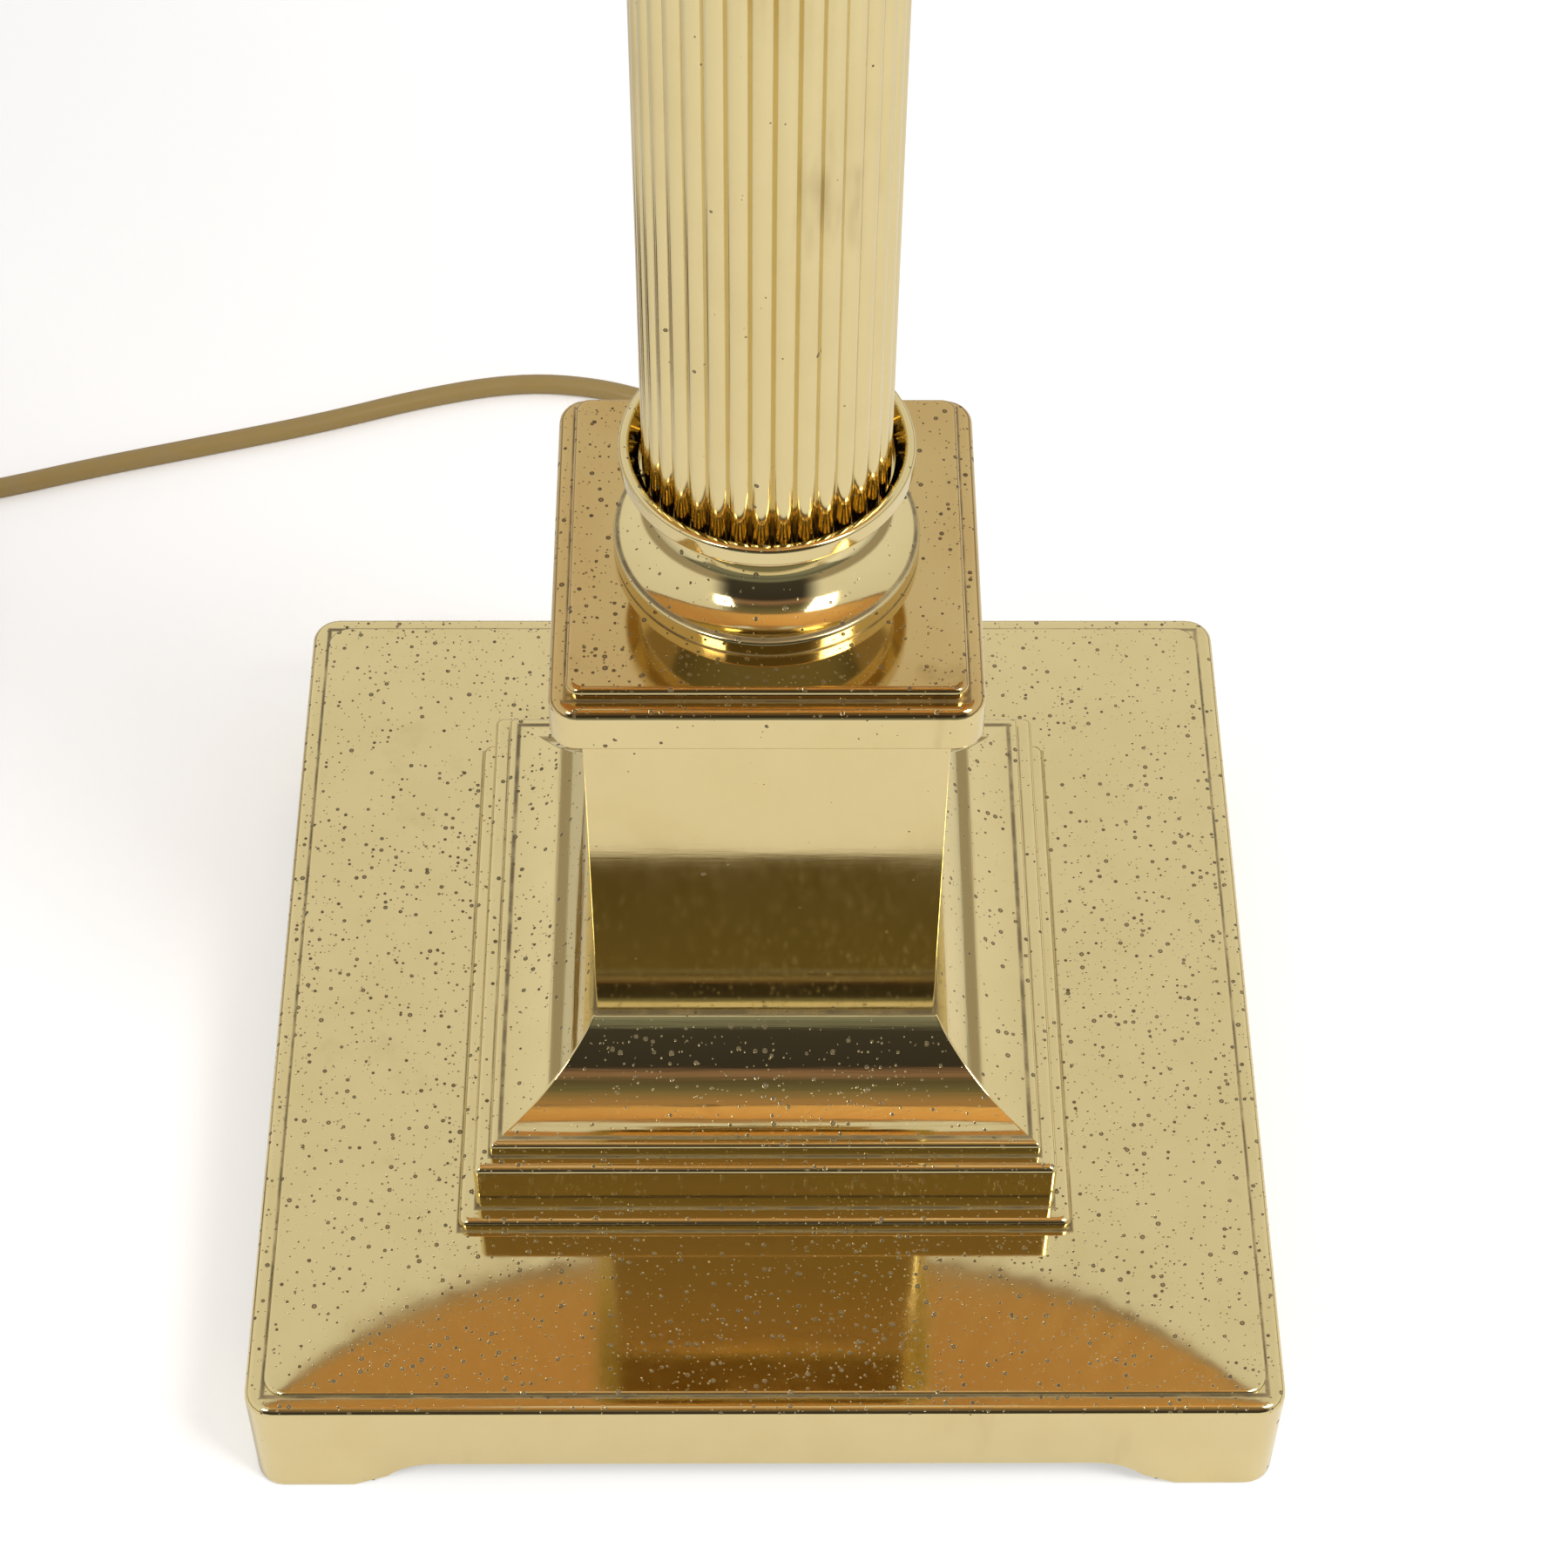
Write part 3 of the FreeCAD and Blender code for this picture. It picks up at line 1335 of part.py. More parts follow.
def build():
    base_plate()
    foot_pads()
    ballast_plate()
    plinth()
    dado_box()
    cap_moulding()
    collar("lower_collar", CAP_TOP, 1)
    column_tube()
    centring_discs()
    collar("upper_collar", ABACUS_BOTTOM, -1)
    abacus()
    neck()
    centre_tube()
    tube_washer()
    tube_nut()
    holder_cap()
    switch_bar()
    holder_shell()
    holder_insert()
    socket_thread()
    centre_contact()
    shade_ring()
    shade_gimbal()
    fixed_shape("shade_bottom_ring", ring_shape(BOTTOM_WIRE))
    fixed_shape("shade_top_ring", ring_shape(TOP_WIRE))
    shade_cover()
    shade_trim("shade_trim_bottom", D["shade_bottom"], D["shade_bottom"] + D["trim_height"])
    shade_trim("shade_trim_top", SHADE_TOP - D["trim_height"], SHADE_TOP)
    cord_bush()
    inner_flex()
    flex_clip()
    clip_screws()
    core("core_live", -1)
    core("core_neutral", 1)
    earth_core()
    earth_tag()
    earth_screw()
    flex_run()
    flex_coil()
    flex_tail()
    keep(plug_half("cover_moulding", ZERO, D["plug_split"], min), "plug_cover")
    keep(plug_half("base_moulding", D["plug_split"], D["plug_thick"], max), "plug_base")
    plug_pins()
    plug_screw()
    doc.recompute()


def check():
    """Stops before anything is written if an object failed or a sub-part's shape isn't sound."""
    for obj in doc.Objects:
        if any(word in obj.State for word in ("Invalid", "Error")):
            raise RuntimeError(f"{obj.Label} is {obj.State}")
    for obj in SUB_PARTS:
        if obj.Shape.isNull() or not obj.Shape.isValid():
            raise RuntimeError(f"{obj.Label} has no sound shape")


def write():
    os.makedirs(PARTS_FOLDER, exist_ok=True)
    for obj in SUB_PARTS:
        obj.Shape.exportStep(os.path.join(PARTS_FOLDER, f"{obj.Label}.step"))
        extent = obj.Shape.optimalBoundingBox()
        print(f"{obj.Label}: {len(obj.Shape.Solids)} solid(s), {obj.Shape.Volume:.0f} mm3, "
              f"x {extent.XMin:.1f}..{extent.XMax:.1f} y {extent.YMin:.1f}..{extent.YMax:.1f} "
              f"z {extent.ZMin:.1f}..{extent.ZMax:.1f}")


build()
check()
write()
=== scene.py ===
"""A brass column table lamp on a square footed base, with a pleated shade and its flex.

Lengths in the outlines are millimetres; every mesh is made in metres in the lamp's own frame.
"""

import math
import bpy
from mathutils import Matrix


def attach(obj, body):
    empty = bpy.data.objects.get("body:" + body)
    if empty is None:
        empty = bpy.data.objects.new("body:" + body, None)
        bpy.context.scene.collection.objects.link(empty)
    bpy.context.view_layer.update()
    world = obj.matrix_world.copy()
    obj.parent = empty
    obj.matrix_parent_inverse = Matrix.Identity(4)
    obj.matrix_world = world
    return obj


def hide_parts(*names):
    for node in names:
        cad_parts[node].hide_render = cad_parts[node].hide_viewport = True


bl_info = {
    "name": "Column table lamp",
    "version": (1, 0, 0),
    "blender": (4, 5, 0),
    "location": "3D View > Sidebar > Lamp",
    "description": "Builds a polished brass column lamp with a pleated shade, its flex and a plain studio",
    "category": "Add Mesh",
}

import bmesh
import bpy
from bpy.props import FloatProperty, FloatVectorProperty, IntProperty, PointerProperty
from mathutils import Matrix, Vector

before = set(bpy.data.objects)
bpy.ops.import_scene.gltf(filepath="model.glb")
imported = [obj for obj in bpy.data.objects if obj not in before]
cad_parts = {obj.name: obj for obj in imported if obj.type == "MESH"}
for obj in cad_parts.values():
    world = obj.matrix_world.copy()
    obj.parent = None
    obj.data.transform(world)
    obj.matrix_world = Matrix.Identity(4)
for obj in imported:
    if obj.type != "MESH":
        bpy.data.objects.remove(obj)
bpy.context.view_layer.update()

MM = 0.001
SHARP = math.radians(32)

# The photograph's camera, fitted to the edges of the base and the cap.
CAMERA_PLACE = (-0.00381, -0.51953, 0.77197)
CAMERA_YAW, CAMERA_PITCH, CAMERA_ROLL = 0.88, 51.85, 0.67
CAMERA_LENS, CAMERA_SENSOR = 86.9, 36.0

# The flex, in metres: the part's own route over the table, its coil and the way to the plug.
FLEX_RADIUS = 0.00275
BUSH_TIP = (0.0, 0.1406, 0.0178)
FLEX_ROUTE = [
    (0.0, 0.152, 0.0178),
    (0.001, 0.1645, 0.01315),
    (0.0004, 0.178, 0.00615),
    (-0.003, 0.1925, 0.00275),
    (-0.012, 0.2075, 0.00275),
    (-0.026, 0.2192, 0.00275),
    (-0.0455, 0.2266, 0.00275),
    (-0.068, 0.2286, 0.00275),
    (-0.094, 0.2228, 0.00275),
    (-0.122, 0.213, 0.00275),
    (-0.152, 0.2046, 0.00275),
    (-0.184, 0.196, 0.00275),
    (-0.214, 0.1864, 0.00275),
]
COIL_CENTRE = (-0.2575, 0.1345)
COIL_START = 107.0
COIL_TURNS = 7
COIL_PITCH = 0.0061
COIL_MID_RADIUS = 0.030
COIL_STEPS = 16
TAIL_ROUTE = [
    (-0.287, 0.092, 0.00595),
    (-0.2843, 0.076, 0.00535),
]
PLUG_ENTRY = (-0.2835, 0.050, 0.011)

# Heights of the main pieces, in millimetres.
BASE_TOP = 34.6
PLINTH_TOP = 76.2
CAP_BOTTOM = 177.7
CAP_TOP = 191.8
COLUMN_BOTTOM = 214.2
COLUMN_TOP = 491.4
ABACUS_BOTTOM = 513.8
ABACUS_TOP = 529.8
HOLDER_BOTTOM = 555.8
SHADE_BOTTOM = 545.0
SHADE_TOP = 830.0

# Half widths and radii that come up more than once, in millimetres.
PLINTH_HALF = 69.4
DADO_HALF = 37.6
COLLAR_RADIUS = 31.4
SHADE_LOW_RADIUS = 233.8
SHADE_HIGH_RADIUS = 126.8

# Colours on the brass: what time left on it, the brown of the faces that look up, and the pits' brown, which
# also paints shade into its inner corners.
PIT_AND_SHADE_BROWN = (0.06, 0.036, 0.014)
SMEARED = (0.60, 0.44, 0.17)
UPWARD_BROWN = (0.50, 0.31, 0.10)
STAINED = (0.30, 0.19, 0.06)


# ---- settings --------------------------------------------------------------------------------------


class LampSizes(bpy.types.PropertyGroup):
    reed_count: IntProperty(name="Reeds", description="Convex reeds round the column", default=34)
    reed_radius: FloatProperty(name="Reed radius", description="Radius of one reed's section",
                               default=2.6 * MM, unit="LENGTH")
    column_radius: FloatProperty(name="Column radius", description="From the axis to the crest of a reed",
                                 default=25.1 * MM, unit="LENGTH")
    pleat_count: IntProperty(name="Pleats", description="Folds round the shade", default=96)
    pleat_cloth: FloatProperty(name="Cloth in a pleat", description="Width of cloth that one pleat takes up",
                               default=18.6 * MM, unit="LENGTH")
    cloth_thick: FloatProperty(name="Cloth thickness", description="Thickness of the shade's cloth",
                               default=0.5 * MM, unit="LENGTH")
    knurl_count: IntProperty(name="Knurls", description="Ribs round the ring that holds the shade",
                             default=72)


class LampColours(bpy.types.PropertyGroup):
    brass: FloatVectorProperty(name="Brass", description="Reflection colour of the polished brass",
                               default=(0.72, 0.60, 0.31), size=3, subtype="COLOR")
    cloth: FloatVectorProperty(name="Shade cloth", description="Colour of the pleated cloth",
                               default=(0.66, 0.46, 0.24), size=3, subtype="COLOR")
    lit_cloth: FloatVectorProperty(name="Lit cloth", description="Colour of the light that passes the cloth",
                                   default=(1.0, 0.80, 0.52), size=3, subtype="COLOR")
    flex: FloatVectorProperty(name="Flex", description="Colour of the flex's sheath",
                              default=(0.34, 0.235, 0.075), size=3, subtype="COLOR")


# ---- shader maths ----------------------------------------------------------------------------------


class Flow:
    """A node's output that adds Math nodes when it is used in an expression."""

    def __init__(self, net, socket):
        self.net = net
        self.socket = socket

    def maths(self, operation, *others):
        return self.net.add("ShaderNodeMath", {"operation": operation}, dict(enumerate((self,) + others)))

    def __add__(self, other):
        return self.maths("ADD", other)

    def __sub__(self, other):
        return self.maths("SUBTRACT", other)

    def __mul__(self, other):
        return self.maths("MULTIPLY", other)

    def __truediv__(self, other):
        return self.maths("DIVIDE", other)

    def __rsub__(self, other):
        return self.net.add("ShaderNodeMath", {"operation": "SUBTRACT"}, {0: other, 1: self})

    __radd__ = __add__
    __rmul__ = __mul__

    def above(self, limit):
        return self.maths("GREATER_THAN", limit)

    def power(self, exponent):
        return self.maths("POWER", exponent)

    def between(self, low, high, to_low=0.0, to_high=1.0):
        """Rises smoothly from to_low at low to to_high at high."""
        return self.net.add("ShaderNodeMapRange", {"interpolation_type": "SMOOTHSTEP"},
                            {"Value": self, "From Min": low, "From Max": high,
                             "To Min": to_low, "To Max": to_high})


class Net:
    """A node tree; add() makes any node and returns one of its outputs."""

    def __init__(self, tree):
        self.tree = tree

    def add(self, kind, settings=None, sockets=None, output=0):
        node = self.tree.nodes.new(kind)
        for name, value in (settings or {}).items():
            if name == "stops":
                self.set_stops(node.color_ramp, value)
            else:
                setattr(node, name, value)
        for key, value in (sockets or {}).items():
            if isinstance(value, Flow):
                self.tree.links.new(value.socket, node.inputs[key])
            else:
                node.inputs[key].default_value = value
        return Flow(self, node.outputs[output]) if node.outputs else node

    def set_stops(self, ramp, stops):
        while len(ramp.elements) < len(stops):
            ramp.elements.new(1.0)
        for element, (place, colour) in zip(ramp.elements, stops):
            element.position = place
            element.color = (*colour, 1.0)

    def mix(self, factor, a, b):
        """Colour a where factor is 0 and b where it is 1."""
        colours = [value if isinstance(value, Flow) else (*value[:3], 1.0) for value in (a, b)]
        return self.add("ShaderNodeMix", {"data_type": "RGBA"}, {0: factor, 6: colours[0], 7: colours[1]}, 2)

    def place(self, scale=(1.0, 1.0, 1.0), turn=(0.0, 0.0, 0.0)):
        """Object coordinates, stretched and turned."""
        here = self.add("ShaderNodeTexCoord", output="Object")
        return self.add("ShaderNodeMapping", None, {"Vector": here, "Scale": scale, "Rotation": turn})

    def noise(self, vector, scale, detail=2.0, rough=0.5):
        return self.add("ShaderNodeTexNoise", None,
                        {"Vector": vector, "Scale": scale, "Detail": detail, "Roughness": rough})

    def part(self, vector, axis):
        """One of the three numbers of a vector or colour."""
        return self.add("ShaderNodeSeparateXYZ", None, {0: vector}, axis)

    def bump(self, height, distance, strength=1.0, normal=None):
        sockets = {"Height": height, "Distance": distance, "Strength": strength}
        if normal:
            sockets["Normal"] = normal
        return self.add("ShaderNodeBump", None, sockets)


def new_material(name):
    """An empty node material and its net."""
    material = bpy.data.materials.new(name)
    material.use_nodes = True
    material.node_tree.nodes.clear()
    return material, Net(material.node_tree)


def surface(net, sockets):
    """A Principled shader on the material's output."""
    shader = net.add("ShaderNodeBsdfPrincipled", None, sockets)
    net.add("ShaderNodeOutputMaterial", None, {"Surface": shader})
    return shader


def pits(net, cell, share, smallest, largest):
    """Round pits in a layer: how dark each point is, from the nearest of many scattered places.

    cell, smallest and largest are millimetres; share is how many of the places hold a pit.
    """
    place = net.place()
    scale = 1 / (cell * MM)
    away = net.add("ShaderNodeTexVoronoi", None, {"Vector": place, "Scale": scale})
    chance = net.add("ShaderNodeTexVoronoi", None, {"Vector": place, "Scale": scale}, 1)
    size = net.part(chance, 0)
    radius = size * size * ((largest - smallest) / cell) + smallest / cell
    here = share - net.part(chance, 1)
    rim = (away / radius).between(1.0, 0.82)
    heart = (away / radius).between(0.62, 0.3)
    return rim * (1 - heart * 0.4) * here.above(0.0)


def corner_dirt_and_shade(net, lines, turned):
    """Dirt and painted shade in the inner corners of a moulding, each a (half width or radius, height) in mm.
    """
    here = net.place()
    x, y, height = (net.part(here, axis) for axis in range(3))
    if turned:
        across = (x * x + y * y).power(0.5)
    else:
        across = x.maths("ABSOLUTE").maths("MAXIMUM", y.maths("ABSOLUTE"))
    nearest = 1.0
    for half, level in lines:
        aside, above = across - half * MM, height - level * MM
        nearest = (aside * aside + above * above).power(0.5).maths("MINIMUM", nearest)
    patchy = net.noise(here, 120.0, 3.0).between(0.3, 0.6, 0.45, 1.0)
    return nearest.between(0.75 * MM, 0.2 * MM) * patchy


def brass(name, colours, pitting=1.0, streaks=(1.0, 1.0, 14.0), streak_depth=0.01, waves=0.04,
          dull=0.07, stain=0.0, upward_browning=0.0, dirt_and_shade_corners=(), turned=False):
    """Polished lacquered brass: brown pits where dust settles, faint smears, soft polishing streaks, and dirt
    with painted shade in its inner corners.

    streak_depth and waves are millimetres; the faces that look up are browned by their given share, stain
    adds brown blots, and the inner corners listed are darkened, partly with dirt and partly with painted
    shade.
    """
    material, net = new_material(name)
    facing = net.part(net.add("ShaderNodeNewGeometry", output="Normal"), 2)
    patches = net.noise(net.place(), 22.0, 3.0)
    level = facing.between(0.05, 0.75, 0.06, 1.0) * patches.between(0.3, 0.62, 0.4, 1.15) * pitting
    large = pits(net, 1.9, level * 0.8, 0.2, 0.66)
    small = pits(net, 1.05, level * 0.55, 0.1, 0.3)
    pit = (large + small * 0.8).maths("MINIMUM", 1.0)
    smear = net.noise(net.place((1.0, 1.0, 0.6)), 60.0, 5.0, 0.62)
    tone = net.mix(smear.between(0.35, 0.75, 0.0, 0.16), colours.brass, SMEARED)
    # Browns the faces that look up.
    if upward_browning:
        browned = facing.between(0.1, 0.8) * patches.between(0.3, 0.62, 0.75, 1.0) * upward_browning
        tone = net.mix(browned, tone, UPWARD_BROWN)
    if stain:
        blots = net.noise(net.place((1.0, 1.0, 0.22)), 48.0, 4.0, 0.6).between(0.60, 0.74)
        tone = net.mix(blots * stain, tone, STAINED)
    pit_dirt_and_shade = pit * 0.92
    # The listed inner corners get dirt and painted shade, in the pits' brown.
    if dirt_and_shade_corners:
        pit_dirt_and_shade = pit_dirt_and_shade.maths("MAXIMUM", corner_dirt_and_shade(net, dirt_and_shade_corners, turned) * 0.8)
    colour = net.mix(pit_dirt_and_shade, tone, PIT_AND_SHADE_BROWN)
    rough = smear.between(0.3, 0.8, dull * 0.8, dull * 1.5) + pit_dirt_and_shade * 0.4
    lines = net.noise(net.place(streaks), 60.0, 3.0, 0.6)
    swell = net.noise(net.place(), 14.0, 1.0)
    normal = net.bump(swell, waves * MM)
    normal = net.bump(lines, streak_depth * MM, normal=normal)
    normal = net.bump(1 - pit, 0.06 * MM, 0.6, normal)
    surface(net, {"Base Color": colour, "Metallic": 1 - pit_dirt_and_shade * 0.85, "Roughness": rough, "Normal": normal})
    return material


def plain_metal(name, colour, rough, grain=(1.0, 1.0, 1.0), depth=0.00002):
    """Turned or plated metal with a fine grain."""
    material, net = new_material(name)
    lines = net.noise(net.place(grain), 900.0, 3.0)
    tone = net.mix(lines.between(0.3, 0.7, 0.0, 0.25), colour, [value * 0.6 for value in colour])
    surface(net, {"Base Color": tone, "Metallic": 1.0, "Normal": net.bump(lines, depth, 0.5),
                  "Roughness": lines.between(0.2, 0.8, rough * 0.7, rough * 1.4)})
    return material


def plastic(name, colour, rough, coarse=2500.0, depth=0.00002, coat=0.0):
    """Moulded plastic, rubber or glaze with a fine texture."""
    material, net = new_material(name)
    grain = net.noise(net.place(), coarse, 2.0)
    wear = net.noise(net.place(), 90.0, 4.0)
    tone = net.mix(wear.between(0.4, 0.8, 0.0, 0.3), colour, [value * 0.72 + 0.01 for value in colour])
    surface(net, {"Base Color": tone, "Roughness": wear.between(0.3, 0.7, rough * 0.85, rough * 1.2),
                  "Normal": net.bump(grain, depth, 0.6), "Coat Weight": coat})
    return material


def felt_material():
    material, net = new_material("felt_dark_green")
    fibres = net.noise(net.place(), 3200.0, 4.0, 0.7)
    colour = net.mix(fibres, (0.035, 0.05, 0.03), (0.10, 0.13, 0.085))
    surface(net, {"Base Color": colour, "Roughness": 0.95, "Normal": net.bump(fibres, 0.0002)})
    return material


def cloth_material(name, colour, lets_through, lit, weave=1500.0, depth=0.00006):
    """Pleated cloth: an even weave with slubs. It lets part of the light through, in the colour lit."""
    material, net = new_material(name)
    where = net.add("ShaderNodeUVMap", {"uv_map": "cloth"})
    across = net.add("ShaderNodeTexWave", {"bands_direction": "X"},
                     {"Vector": where, "Scale": weave / 20, "Distortion": 0.6, "Detail Scale": 2.0}, 1)
    along = net.add("ShaderNodeTexWave", {"bands_direction": "Y"},
                    {"Vector": where, "Scale": weave / 20, "Distortion": 0.6, "Detail Scale": 2.0}, 1)
    threads = across.maths("MAXIMUM", along)
    drawn_out = net.add("ShaderNodeMapping", None, {"Vector": where, "Scale": (40.0, 900.0, 1.0)})
    slubs = net.noise(drawn_out, 1.0, 3.0)
    base = net.mix(slubs.between(0.45, 0.75, 0.0, 0.35), colour, [value * 0.72 for value in colour])
    tone = net.mix(threads * 0.25, base, [value * 0.6 for value in colour])
    normal = net.bump(threads + slubs, depth, 0.7)
    shader = net.add("ShaderNodeBsdfPrincipled", None,
                     {"Base Color": tone, "Roughness": 0.85, "Sheen Weight": 0.25, "Normal": normal})
    glow = net.mix(threads * 0.1, lit, tone)
    through = net.add("ShaderNodeBsdfTranslucent", None, {"Color": glow, "Normal": normal})
    both = net.add("ShaderNodeMixShader", None, {0: lets_through, 1: shader, 2: through})
    net.add("ShaderNodeOutputMaterial", None, {"Surface": both})
    return material


def flex_material(colours):
    """Satin PVC over three twisted cores, with the slow bulge of the lay and some dust."""
    material, net = new_material("gold_pvc_flex")
    place = net.place()
    dust = net.noise(place, 160.0, 5.0, 0.6)
    tone = net.mix(dust.between(0.5, 0.85, 0.0, 0.45), colours.flex, (0.30, 0.25, 0.17))
    fine = net.noise(place, 1800.0, 2.0)
    slow = net.noise(place, 90.0, 1.0)
    normal = net.bump(slow, 0.0006, 0.5, net.bump(fine, 0.00003, 0.5))
    surface(net, {"Base Color": tone, "Roughness": dust.between(0.3, 0.7, 0.38, 0.55), "Normal": normal})
    return material


# ---- mesh helpers ----------------------------------------------------------------------------------


def new_piece(name, points, faces):
    """A linked object from points in millimetres, with its doubles merged and its faces outwards."""
    mesh = bpy.data.meshes.new(name)
    mesh.from_pydata([[value * MM for value in point] for point in points], [], faces)
    shell = bmesh.new()
    shell.from_mesh(mesh)
    bmesh.ops.remove_doubles(shell, verts=shell.verts, dist=1e-6)
    bmesh.ops.recalc_face_normals(shell, faces=shell.faces)
    shell.to_mesh(mesh)
    shell.free()
    obj = bpy.data.objects.new(name, mesh)
    bpy.context.collection.objects.link(obj)
    return obj


def dress(obj, body, slot, material, *nodes):
    """Shades a finished piece smooth, gives it its material and ties it to the frame."""
    if obj.type == "MESH":
        obj.data.shade_smooth()
        obj.data.set_sharp_from_angle(angle=SHARP)
    if material:
        obj.data.materials.clear()
        obj.data.materials.append(material)
    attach(obj, body)
    if nodes:
        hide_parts(*nodes)
    return obj


def weight_normals(obj):
    """Keeps the wide flat faces flat beside their rounded edges."""
    modifier = obj.modifiers.new("flat_faces", "WEIGHTED_NORMAL")
    modifier.weight = 100
    modifier.keep_sharp = True
    return obj


def arc_through(start, end, radius, left=True, steps=6):
    """Points of an arc between two points of an outline, without its first; it turns left or right."""
    a, b = Vector(start), Vector(end)
    chord = b - a
    rise = math.sqrt(max(radius**2 - chord.length_squared / 4, 0.0))
    side = Vector((-chord.y, chord.x)).normalized() * (rise if left else -rise)
    centre = (a + b) / 2 + side
    first = math.atan2(*(a - centre).yx)
    sweep = math.atan2(*(b - centre).yx) - first
    turn = 2 * math.pi if left else -2 * math.pi
    if sweep * turn < 0:
        sweep += turn
    return [tuple(centre + Vector((math.cos(first + sweep * n / steps), math.sin(first + sweep * n / steps)))
                  * radius) for n in range(1, steps + 1)]


def filleted(corners, steps=5):
    """Rounds the corners of a closed outline. Each corner is (x, height) or (x, height, radius)."""
    outline = []
    count = len(corners)
    for number, corner in enumerate(corners):
        here = Vector(corner[:2])
        radius = corner[2] if len(corner) > 2 else 0.0
        if not radius:
            outline.append(tuple(here))
            continue
        back = (Vector(corners[number - 1][:2]) - here).normalized()
        on = (Vector(corners[(number + 1) % count][:2]) - here).normalized()
        half = back.angle(on) / 2
        setback = radius / math.tan(half)
        start, end = here + back * setback, here + on * setback
        left = back.x * on.y - back.y * on.x < 0
        outline.append(tuple(start))
        outline.extend(arc_through(start, end, radius, left, steps))
    return outline


def ellipse_arc(centre, radii, first, last, steps):
    """Points of an ellipse's arc; the angles are degrees."""
    angles = [math.radians(first + (last - first) * n / steps) for n in range(steps + 1)]
    return [(centre[0] + radii[0] * math.cos(a), centre[1] + radii[1] * math.sin(a)) for a in angles]


def loop_faces(rows, around):
    """Quads between closed rings of points, the last ring joined to the first."""
    faces = []
    for row in range(rows):
        above = (row + 1) % rows
        for spoke in range(around):
            beside = (spoke + 1) % around
            faces.append((row * around + spoke, row * around + beside,
                          above * around + beside, above * around + spoke))
    return faces


def turned_piece(name, outline, around=96):
    """A turning from a closed half section of (radius, height)."""
    points = []
    for radius, height in outline:
        for spoke in range(around):
            angle = 2 * math.pi * spoke / around
            points.append((radius * math.cos(angle), radius * math.sin(angle), height))
    return new_piece(name, points, loop_faces(len(outline), around))


def square_piece(name, outline, corner, marks=(-1.0, 1.0), bottom=None, corner_steps=6):
    """A square moulding from a closed half section of (half width, height[, plan corner radius]).

    corner is the plan's corner radius at the widest row. marks are places along the straight part of each
    side, as shares of its half length. A height of None follows bottom, a height for each distance from
    the middle of a side.
    """
    widest = max(row[0] for row in outline)
    points = []
    for row in outline:
        half, height = row[:2]
        radius = row[2] if len(row) > 2 else max(corner + half - widest, 0.25)
        flat = half - radius
        ring = [(mark * flat, -half, abs(mark) * flat) for mark in marks]
        for step in range(1, corner_steps):
            angle = math.radians(-90 + 90 * step / corner_steps)
            ring.append((flat + radius * math.cos(angle), -flat + radius * math.sin(angle), half))
        for turn in range(4):
            way = Matrix.Rotation(turn * math.pi / 2, 2)
            for x, y, along in ring:
                place = way @ Vector((x, y))
                points.append((place.x, place.y, bottom(along) if height is None else height))
    around = 4 * (len(marks) + corner_steps - 1)
    return weight_normals(new_piece(name, points, loop_faces(len(outline), around)))


def node_group(name, sockets):
    """A geometry node tree with named inputs, its net and its input node's outputs by name."""
    tree = bpy.data.node_groups.new(name, "GeometryNodeTree")
    tree.interface.new_socket("Geometry", in_out="INPUT", socket_type="NodeSocketGeometry")
    tree.interface.new_socket("Geometry", in_out="OUTPUT", socket_type="NodeSocketGeometry")
    for label, kind in sockets.items():
        tree.interface.new_socket(label, in_out="INPUT", socket_type=f"NodeSocket{kind}")
    net = Net(tree)
    start = tree.nodes.new("NodeGroupInput")
    return tree, net, {socket.name: Flow(net, socket) for socket in start.outputs if socket.name}


def round_repeat_tree():
    """Repeats the piece round the upright axis, joins the copies and lets them vary a little."""
    tree, net, given = node_group("round_repeat", {
        "Count": "Int", "Turn": "Float", "Join": "Float", "Unevenness": "Float", "Material": "Material",
    })
    points = net.add("GeometryNodePoints", None, {"Count": given["Count"]})
    angle = net.add("GeometryNodeInputIndex") * (2 * math.pi) / given["Count"] + given["Turn"]
    turn = net.add("ShaderNodeCombineXYZ", None, {"Z": angle})
    copies = net.add("GeometryNodeInstanceOnPoints", None,
                     {"Points": points, "Instance": given["Geometry"], "Rotation": turn})
    real = net.add("GeometryNodeRealizeInstances", None, {"Geometry": copies})
    joined = net.add("GeometryNodeMergeByDistance", None, {"Geometry": real, "Distance": given["Join"]})
    place = net.add("GeometryNodeInputPosition")
    wander = net.add("ShaderNodeTexNoise", {"noise_dimensions": "4D"},
                     {"Vector": place, "W": 3.0, "Scale": 26.0, "Detail": 1.0}, 1)
    centred = net.add("ShaderNodeVectorMath", {"operation": "SUBTRACT"}, {0: wander, 1: (0.5, 0.5, 0.5)})
    shift = net.add("ShaderNodeVectorMath", {"operation": "SCALE"},
                    {0: centred, "Scale": given["Unevenness"]})
    moved = net.add("GeometryNodeSetPosition", None, {"Geometry": joined, "Offset": shift})
    done = net.add("GeometryNodeSetMaterial", None, {"Geometry": moved, "Material": given["Material"]})
    net.add("NodeGroupOutput", None, {"Geometry": done})
    return tree


